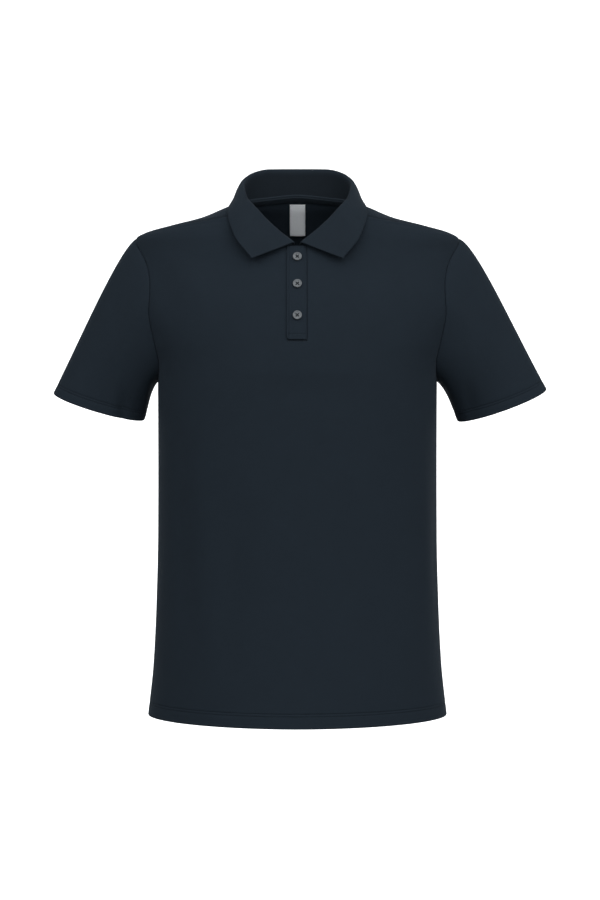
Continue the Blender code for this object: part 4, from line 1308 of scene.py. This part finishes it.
def onLabel(x, z, top, rise):
    # points at a rise over the label's hidden face, and their directions into the shirt
    turn = turnAtX(x, z, 1)
    normals = bodyNormal(turn, z)
    deep = bodyForm["cloth"] + placketForm["layerGap"] + labelLoose(x, z, top) + rise
    return bodyPoint(turn, z) - normals * deep[..., None], -normals


def labelRing(half, low, high):
    corners = np.array([(-half, low), (half, low), (half, high), (-half, high), (-half, low)])
    steps = np.linspace(0, 1, 30)[:, None]
    return np.concatenate([mix(a, b, steps) for a, b in zip(corners[:-1], corners[1:])])


def neckLabel():
    n = neckForm
    top = float(belowNeckline(np.array(90.0), n["onBack"] + n["labelBelow"]))
    x = rimmed(-n["labelWidth"] / 2, n["labelWidth"] / 2, n["labelSteps"], 30)
    z = rimmed(top - n["labelDrop"], top, n["labelSteps"], 56)
    x, z = np.broadcast_arrays(x[None, :], z[:, None])
    depth = np.minimum.reduce([n["labelWidth"] / 2 - np.abs(x), z - z.min(), z.max() - z])
    pressed = grooves(depth, (n["labelStitch"],), *n["labelFurrow"])
    face, normals = onLabel(x, z, top, n["labelWall"] + pressed)
    inset = n["labelStitch"]
    ring = labelRing(n["labelWidth"] / 2 - inset, z.min() + inset, z.max() - inset)
    keepLine("label", *onLabel(ring[:, 0], ring[:, 1], top, n["labelWall"] - 0.0001))
    uv = np.stack([x, z], axis=-1)
    return clothPiece("neckLabel", face, normals, n["labelWall"], depth, uv, labelSatin, n["labelRim"])


collarPiece = collar()
opening, gap = panelForm["placketHalf"], bodyForm["seamGap"]
placketTop = placketBand("placketTop", -opening - placketForm["lap"], opening - gap, 0.0, True)
placketUnder = placketBand("placketUnder", -opening + gap, opening + placketForm["underLap"],
                           bodyForm["cloth"] + placketForm["layerGap"], False)
tapePiece = neckTape()
labelPiece = neckLabel()
for piece, node, slot in ((collarPiece, "collar", "rib"), (placketTop, "placket_top", "pique"),
                          (placketUnder, "placket_under", "pique"), (tapePiece, "neck_tape", "tape"),
                          (labelPiece, "label", "label")):
    dress(piece, node)
print("collar, placket, tape and label made")


# inside, the overlocked seam allowances, pressed to the back and to the body

seamForm = {
    "wide": 0.0085,                # from the seam to the overlocked edge
    "past": 0.0016,                # covers the seam from its other side by this
    "wall": 0.0009,
    "gap": 0.0003,
    "rim": 0.0006,
    "ends": 0.0012,                # the side's strip ends short of the hem's edge and the armhole
    "columns": 12,
    "rows": 150,
    "neckEnd": 0.955,              # the shoulder's strip ends short of the collar's foot
}


def seamColumns():
    return rimmed(-seamForm["past"], seamForm["wide"], (0.0002, 0.0005), seamForm["columns"])


def seamStrip(name, face, normals, side):
    # face is where the panels' inner faces lie; the strip lies on it, inside the shirt
    c = seamForm
    mirror = np.array([side, 1, 1])
    outer, inward = (face - normals * (c["gap"] + c["wall"])) * mirror, -normals * mirror
    uv = np.stack([lengthsTable(outer, 1), lengthsTable(outer, 0)], axis=-1)
    keepLine("overlock", outer[:, -4], inward[:, -4])
    name += "Left" if side > 0 else "Right"
    return clothPiece(name, outer, inward, c["wall"], rimDistance(outer), uv, pique, c["rim"])


def bodyInner(turn, z, side, calm):
    # the inner face of a panel at places on the wearer's-left side, or mirrored
    seen = turn if side > 0 else mirroredTurn(turn)
    normals = bodyNormal(turn, z)
    wall = hemmedWall(z - bodyForm["hem"], bodyForm["hemTurn"])
    return bodyPoint(turn, z) + normals * (bodyRise(seen, z) * calm - wall)[..., None], normals


def sideStrip(side):
    c, f = seamForm, bodyForm
    across = seamColumns()[None, :]
    turned = f["hem"] + f["hemTurn"]
    z = np.concatenate([np.linspace(f["hem"] + c["ends"], turned - 0.0002, 12),
                        np.linspace(turned + 0.0010, f["underarm"] - c["ends"], c["rows"])])[:, None]
    turn = turnAtY(np.broadcast_to(across, (len(z), across.shape[1])), z)
    z = np.broadcast_to(z, turn.shape)
    calm = ease((f["underarm"] - z) / bodyFolds["clearOfSeams"])
    face, normals = bodyInner(turn, z, side, calm)
    return seamStrip("sideSeam", face, normals, side)


def shoulderStrip(side):
    c, f = seamForm, bodyForm
    share = np.linspace(0.03, c["neckEnd"], 90)[:, None]
    top = armholePlace(np.array(seamRoundTurn()), f["seamGap"] / 2)[1]
    z = shoulderHeight(top, share)
    forward = readTable(f["shoulderSeam"], "share", "forward", share)
    turn = turnAtY(seamColumns()[None, :] - forward, z)
    z = np.broadcast_to(z, turn.shape)
    face, normals = bodyInner(turn, z, side, 0.0)
    return seamStrip("shoulderSeam", face, normals, side)


def armholeStrip(arm):
    f = bodyForm
    rounds = np.linspace(180 - 0.3, -180 + 0.3, 260)
    across = seamColumns()
    grow = np.linspace(0, 0.016, 33)
    fan = bodyPoint(*armholePlace(rounds[:, None], grow[None, :]))
    fanRun = lengthsTable(fan, 1)
    armShares = np.linspace(0, 0.1, 11)
    arms = sleevePoint(arm, rounds[:, None], armShares[None, :])
    armRun = lengthsTable(arms, 1)
    face, normals = [], []
    mitre = armholeNormal(rounds % 360)
    for away in across:
        blend = np.clip(1 - abs(away) / sleeveForm["mitre"], 0, 1)
        if away < 0:
            share = np.array([np.interp(-away, run, armShares) for run in armRun])
            point = sleevePoint(arm, rounds, share)
            normal = sleeveNormal(arm, rounds, share)
        else:
            grown = np.array([np.interp(away, run, grow) for run in fanRun])
            place = armholePlace(rounds, grown)
            point, normal = bodyPoint(*place), bodyNormal(*place)
        normal = mix(normal, mitre, blend)
        face.append(point - normal * f["cloth"])
        normals.append(normal)
    return seamStrip("armholeSeam", np.stack(face, axis=1), np.stack(normals, axis=1), arm["side"])


strips = [sideStrip(1), sideStrip(-1), shoulderStrip(1), shoulderStrip(-1)]
strips += [armholeStrip(arm) for arm in sleeveForm["arms"].values()]
for piece in strips:
    dress(piece)
print("seam allowances made")


# four-hole buttons, sewn on with crossed thread

buttonForm = {
    "radius": 0.00575,
    "thick": 0.0024,
    "heights": {"buttonTop": -0.0925, "buttonMiddle": -0.1285, "buttonBottom": -0.1690},
    "nodes": {"buttonTop": "button_top", "buttonMiddle": "button_middle", "buttonBottom": "button_bottom"},
    "holeRadius": 0.00088,
    "holeReach": 0.00218,
    "steps": 72,
    # the side and face, in shares of the radius and of the thickness
    "profile": ((0.00, 0.00), (0.86, 0.00), (0.93, 0.08), (0.975, 0.20), (1.00, 0.38), (1.00, 0.66),
                (0.985, 0.82), (0.955, 0.94), (0.915, 0.995), (0.87, 1.00), (0.825, 0.985), (0.785, 0.93),
                (0.74, 0.83), (0.69, 0.74), (0.62, 0.695), (0.52, 0.675), (0.00, 0.66)),
    "threadRadius": 0.00021,
    "threadApart": 1.7,            # strands of a bundle lie this many radii apart
    "threadRise": 0.00045,
    "threadDip": 0.0009,           # the strands go down into the holes by this
    "threadMiddle": 0.0001,        # the middle strand rides higher
}


def buttonSeat(name):
    # the button's middle on the placket, and its own directions: across, up and out
    z = buttonForm["heights"][name]
    rest = bodyForm["cloth"] + 2 * placketForm["layerGap"]
    turn = turnAtX(np.array(0.0), np.array(z), -1)
    middle, normal = bodyPoint(turn, z), bodyNormal(turn, np.array(z))
    out = Vector(normal)
    across = out.cross(Vector((0, 0, 1))).normalized()
    up = out.cross(across).normalized()
    turned = Matrix((across, up, out)).transposed().to_4x4()
    turned.translation = Vector(middle + normal * rest)
    return turned


def joinRings(shape, rings, sides):
    # faces between rings of corners; a ring of one corner closes an end
    for low, high in zip(rings[:-1], rings[1:]):
        for k in range(sides):
            n = (k + 1) % sides
            corners = [low[k % len(low)], low[n % len(low)], high[n % len(high)], high[k % len(high)]]
            shape.faces.new(list(dict.fromkeys(corners)))


def finishedMesh(name, shape):
    mesh = bpy.data.meshes.new(name)
    shape.to_mesh(mesh)
    shape.free()
    return mesh


def buttonBlank():
    # turned from its profile, with four holes cut through
    b = buttonForm
    shape = bmesh.new()
    rings = []
    for share, height in b["profile"]:
        place = share * b["radius"]
        if share == 0:
            rings.append([shape.verts.new((0, 0, height * b["thick"]))])
            continue
        rings.append([shape.verts.new((place * math.cos(k), place * math.sin(k), height * b["thick"]))
                      for k in np.linspace(0, 2 * math.pi, b["steps"], endpoint=False)])
    joinRings(shape, rings, b["steps"])
    bmesh.ops.recalc_face_normals(shape, faces=shape.faces)
    return finishedMesh("buttonBlank", shape)


def holeCutter():
    b = buttonForm
    shape = bmesh.new()
    radius, reach = b["holeRadius"], b["holeReach"]
    for k in range(4):
        angle = math.radians(45 + 90 * k)
        place = Matrix.Translation((reach * math.cos(angle), reach * math.sin(angle), b["thick"] / 2))
        bmesh.ops.create_cone(shape, cap_ends=True, segments=20, radius1=radius, radius2=radius,
                              depth=b["thick"] * 2, matrix=place)
    return finishedMesh("holeCutter", shape)


def evaluatedMesh(thing):
    # the mesh that an object's modifiers give
    bpy.context.view_layer.update()
    graph = bpy.context.evaluated_depsgraph_get()
    return bpy.data.meshes.new_from_object(thing.evaluated_get(graph), depsgraph=graph)


def buttonShape():
    blank, cutter = linkObject("buttonBlank", buttonBlank()), linkObject("holeCutter", holeCutter())
    cut = blank.modifiers.new("holes", "BOOLEAN")
    cut.operation = "DIFFERENCE"
    cut.object = cutter
    mesh = evaluatedMesh(blank)
    for thing in (blank, cutter):
        bpy.data.objects.remove(thing)
    mesh.shade_smooth()
    mesh.set_sharp_from_angle(angle=math.radians(38))
    return mesh


def toneRamp(tree, factor, colour, tones, positions=(0.0, 1.0)):
    # a colour that goes from one tone to another as the factor rises
    ramp = addNode(tree, "ShaderNodeValToRGB", {"Fac": factor})
    for element, tone, position in zip(ramp.color_ramp.elements, tones, positions):
        element.position = position
        element.color = (*(tone * value for value in colour), 1)
    return ramp.outputs["Color"]


def fineRelief(tree, height, distance):
    return addNode(tree, "ShaderNodeBump", {"Distance": distance, "Height": height}).outputs[0]


def buttonMaterial():
    material, tree, shader = blankMaterial("buttonGrey")
    place = addNode(tree, "ShaderNodeTexCoord").outputs["Object"]
    cloud = addNode(tree, "ShaderNodeTexNoise", {"Scale": 210, "Detail": 3, "Vector": place}).outputs["Fac"]
    colour = toneRamp(tree, cloud, clothColours["button"], (0.86, 1.12), (0.30, 0.72))
    scratches = addNode(tree, "ShaderNodeTexNoise", {"Scale": 900, "Vector": place}).outputs["Fac"]
    rough = sumNode(tree, "ADD", sumNode(tree, "MULTIPLY", scratches, 0.14), 0.34)
    fill(tree, shader, {"Base Color": colour, "Roughness": rough,
                        "Normal": fineRelief(tree, scratches, 0.00002)})
    return material


def threadMaterial(name, colour):
    # two-ply thread: slanted plies along the stitch
    material, tree, shader = blankMaterial(name)
    place = addNode(tree, "ShaderNodeTexCoord").outputs["Object"]
    plies = addNode(tree, "ShaderNodeTexWave", {"Scale": 900, "Distortion": 1.5, "Vector": place},
                    bands_direction="DIAGONAL").outputs["Fac"]
    fill(tree, shader, {"Base Color": toneRamp(tree, plies, colour, (0.7, 1.2)), "Roughness": 0.8,
                        "Specular IOR Level": 0.12, "Normal": fineRelief(tree, plies, 0.00004)})
    return material


buttonPlastic = buttonMaterial()
navyThread = threadMaterial("threadNavy", clothColours["thread"])
labelThread = threadMaterial("threadGrey", clothColours["labelThread"])
buttonThread = threadMaterial("threadSlate", clothColours["buttonThread"])


def tube(shape, line, radius, sides=10):
    # a round strand along a line of points, closed at both ends
    line = [Vector(point) for point in line]
    rings, side = [], None
    for k, point in enumerate(line):
        along = (line[min(k + 1, len(line) - 1)] - line[max(k - 1, 0)]).normalized()
        side = (side - along * side.dot(along) if side else along.orthogonal()).normalized()
        second = along.cross(side)
        rings.append([shape.verts.new(point + (side * math.cos(a) + second * math.sin(a)) * radius)
                      for a in np.linspace(0, 2 * math.pi, sides, endpoint=False)])
    joinRings(shape, rings, sides)
    shape.faces.new(rings[0][::-1])
    shape.faces.new(rings[-1])


def crossedThread():
    # two bundles of strands, from hole to opposite hole over the button's face
    b = buttonForm
    shape = bmesh.new()
    face = b["thick"] * 0.67
    for bundle in range(2):
        angle = math.radians(45 + 90 * bundle)
        along = Vector((math.cos(angle), math.sin(angle), 0))
        aside = Vector((-along.y, along.x, 0))
        for strand in (-1, 0, 1):
            line = []
            for k in np.linspace(-1, 1, 25):
                bend = 1 - abs(k) ** 6
                reach = b["holeReach"] * signedPower(k, 0.75)
                over = b["threadRise"] * (1.0 + 0.8 * bundle * (1 - k * k))
                over += b["threadMiddle"] * (1 - abs(strand))
                rise = face - b["threadDip"] + (b["threadDip"] + over) * bend
                beside = aside * (strand * b["threadRadius"] * b["threadApart"])
                line.append(along * float(reach) + beside + Vector((0, 0, float(rise))))
            tube(shape, line, b["threadRadius"])
    bmesh.ops.recalc_face_normals(shape, faces=shape.faces)
    mesh = finishedMesh("crossedThread", shape)
    mesh.shade_smooth()
    return mesh


def placedCopy(name, mesh, turned, material):
    copy = mesh.copy()
    copy.name = name
    copy.transform(turned)
    copy.materials.clear()
    copy.materials.append(material)
    return linkObject(name, copy)


buttonMesh, threadMesh = buttonShape(), crossedThread()
for name, node in buttonForm["nodes"].items():
    turned = buttonSeat(name)
    dress(placedCopy(name, buttonMesh, turned, buttonPlastic), node)
    dress(placedCopy(name + "Thread", threadMesh, turned, buttonThread))
print("buttons made")


# rows of stitching, by one tree of geometry nodes

stitchForm = {
    # the slot that each takes, and pitch, stitch length, width and height, with the slant in degrees
    "hem": {"slot": "pique", "pitch": 0.0030, "long": 0.0025, "wide": 0.00042, "high": 0.00034},
    "cuffs": {"slot": "pique", "pitch": 0.0028, "long": 0.0023, "wide": 0.00042, "high": 0.00034},
    "placket": {"slot": "pique", "pitch": 0.0026, "long": 0.0021, "wide": 0.00038, "high": 0.00030},
    "tape": {"slot": "tape", "pitch": 0.0026, "long": 0.0021, "wide": 0.00036, "high": 0.00028},
    "label": {"slot": "label", "pitch": 0.0018, "long": 0.0014, "wide": 0.00028, "high": 0.00022},
    "overlock": {"slot": "pique", "pitch": 0.0019, "long": 0.0032, "wide": 0.00045, "high": 0.00040,
                 "slant": 68.0},
}


def stitchTree():
    tree, given, out = nodeGroup(
        "stitchRow", "GeometryNodeTree",
        (("Row", "Geometry"), ("Pitch", "Float"), ("Stitch Length", "Float"), ("Stitch Width", "Float"),
         ("Stitch Height", "Float"), ("Slant", "Float"), ("Thread", "Material")),
        (("Stitches", "Geometry"),))

    def step(kind, inputs=None, **settings):
        return addNode(tree, kind, inputs, **settings).outputs

    path = step("GeometryNodeMeshToCurve", {"Mesh": given["Row"]})
    steps = step("GeometryNodeResampleCurve", {"Curve": path[0], "Length": given["Pitch"]}, mode="LENGTH")
    outward = step("GeometryNodeInputNamedAttribute", {"Name": "outward"}, data_type="FLOAT_VECTOR")
    tangent = step("GeometryNodeInputTangent")
    along = step("FunctionNodeAlignRotationToVector", {"Vector": tangent[0]}, axis="X")
    facing = step("FunctionNodeAlignRotationToVector",
                  {"Rotation": along[0], "Vector": outward["Attribute"]}, axis="Z", pivot_axis="X")
    grain = step("GeometryNodeMeshUVSphere", {"Segments": 8, "Rings": 6, "Radius": 0.5})
    size = step("ShaderNodeCombineXYZ",
                {0: given["Stitch Length"], 1: given["Stitch Width"], 2: given["Stitch Height"]})
    slant = step("ShaderNodeCombineXYZ", {2: given["Slant"]})
    shaped = step("GeometryNodeTransform", {"Geometry": grain["Mesh"], "Scale": size[0]})
    turned = step("GeometryNodeTransform", {"Geometry": shaped[0], "Rotation": slant[0]})
    placed = step("GeometryNodeInstanceOnPoints",
                  {"Points": steps[0], "Instance": turned[0], "Rotation": facing[0]})
    real = step("GeometryNodeRealizeInstances", {0: placed[0]})
    smooth = step("GeometryNodeSetShadeSmooth", {"Geometry": real[0]})
    coloured = step("GeometryNodeSetMaterial", {"Geometry": smooth[0], "Material": given["Thread"]})
    fill(tree, out, {0: coloured[0]})
    return tree


stitchRow = stitchTree()


def stitches(name, seam):
    form = stitchForm[seam]
    points, outward, edges = [], [], []
    for line, facing in stitchLines[seam]:
        edges += [(len(points) + k, len(points) + k + 1) for k in range(len(line) - 1)]
        points += (line + facing * form["high"] * 0.25).tolist()
        outward += facing.tolist()
    rows = bpy.data.meshes.new(name + "Rows")
    rows.from_pydata(points, edges, [])
    attribute = rows.attributes.new("outward", "FLOAT_VECTOR", "POINT")
    attribute.data.foreach_set("vector", np.asarray(outward, np.float32).ravel())
    thing = linkObject(name + "Rows", rows)
    sewn = thing.modifiers.new("stitches", "NODES")
    sewn.node_group = stitchRow
    wanted = {"Pitch": form["pitch"], "Stitch Length": form["long"], "Stitch Width": form["wide"],
              "Stitch Height": form["high"], "Slant": math.radians(form.get("slant", 0.0)),
              "Thread": labelThread if seam == "label" else navyThread}
    for item in stitchRow.interface.items_tree:
        if item.in_out == "INPUT" and item.name in wanted:
            sewn[item.identifier] = wanted[item.name]
    mesh = evaluatedMesh(thing)
    thing.modifiers.clear()
    bpy.data.objects.remove(thing)
    if "outward" in mesh.attributes:
        mesh.attributes.remove(mesh.attributes["outward"])
    return linkObject(name, mesh)


sewing = {}
for seam, form in stitchForm.items():
    sewing[seam] = stitches(seam + "Stitches", seam)
    dress(sewing[seam])
    print(seam, "stitched,", len(sewing[seam].data.polygons), "faces")
# floor, light and camera

studio = {
    "floor": -1.05,
    "radius": 7.0,
    "sides": 64,
    "rings": 12,
    "air": (0.93, 0.97, 1.0),
    # soft lobes of light round the shirt: direction, sharpness and strength
    "lobes": (
        ((0.6, -0.6, 0.55), 6.0, 2.17),
        ((-0.6, -0.6, 0.55), 6.0, 1.61),
        ((1.0, 0.0, 0.0), 1.0, 0.04),
        ((-1.0, 0.0, 0.0), 1.0, 0.01),
        ((0.0, -1.0, 0.0), 1.0, 0.36),
        ((0.0, 1.0, 0.0), 1.0, 0.29),
        ((0.0, -0.50, 0.87), 9.0, 0.18),
        ((0.30, 0.93, 0.20), 12.0, 1.22),
        ((-0.30, 0.93, 0.20), 12.0, 1.16),
    ),
    "cameraPlace": (0.0034, -2.2, -0.338),
    "lens": 66.164,
}


def studioSheet(name, points, faces, material):
    mesh = bpy.data.meshes.new(name)
    mesh.from_pydata(points, [], faces)
    mesh.materials.append(material)
    made = linkObject(name, mesh)
    made.visible_diffuse = made.visible_glossy = made.visible_shadow = False


def studioDome(material):
    # a white floor and a white dome on it
    sides, rings, radius = studio["sides"], studio["rings"], studio["radius"]
    points = [(radius * math.cos(level) * math.cos(turn), radius * math.cos(level) * math.sin(turn),
               studio["floor"] + radius * math.sin(level))
              for level in np.linspace(0, math.pi / 2 - 0.001, rings)
              for turn in np.linspace(0, 2 * math.pi, sides, endpoint=False)]
    faces = [(low + k, low + sides + k, low + sides + (k + 1) % sides, low + (k + 1) % sides)
             for low in range(0, (rings - 1) * sides, sides) for k in range(sides)]
    faces.append([(rings - 1) * sides + k for k in range(sides)][::-1])
    studioSheet("studioDome", points, faces, material)
    studioSheet("studioFloor", points[:sides], [tuple(range(sides))], material)


def studioWhite():
    material, tree, shader = blankMaterial("studioWhite")
    fill(tree, shader, {"Base Color": (0.9, 0.9, 0.9, 1), "Roughness": 0.9, "Emission Color": (1, 1, 1, 1),
                        "Emission Strength": 1.0})
    return material


def studioAir():
    # the world is a sum of soft lobes, so that the light has no hard edge
    world = bpy.data.worlds.new("studioAir")
    world.use_nodes = True
    tree = world.node_tree
    place = addNode(tree, "ShaderNodeTexCoord").outputs["Generated"]
    total = 0.0
    for direction, sharpness, strength in studio["lobes"]:
        towards = addNode(tree, "ShaderNodeVectorMath", {0: place, 1: Vector(direction).normalized()},
                          operation="DOT_PRODUCT").outputs["Value"]
        lobe = sumNode(tree, "POWER", sumNode(tree, "MAXIMUM", towards, 0.0), sharpness)
        total = sumNode(tree, "ADD", sumNode(tree, "MULTIPLY", lobe, strength), total)
    fill(tree, tree.nodes["Background"], {"Color": scaled(tree, studio["air"], total)})
    bpy.context.scene.world = world


studioDome(studioWhite())
studioAir()
camera = bpy.data.cameras.new("camera")
camera.sensor_fit = "VERTICAL"
camera.sensor_height = camera.sensor_width = 36.0
camera.lens = studio["lens"]
cameraObject = linkObject("camera", camera)
cameraObject.location = studio["cameraPlace"]
cameraObject.rotation_euler = (math.radians(90), 0, 0)
bpy.context.scene.camera = cameraObject
bpy.context.scene.view_settings.view_transform = "Standard"
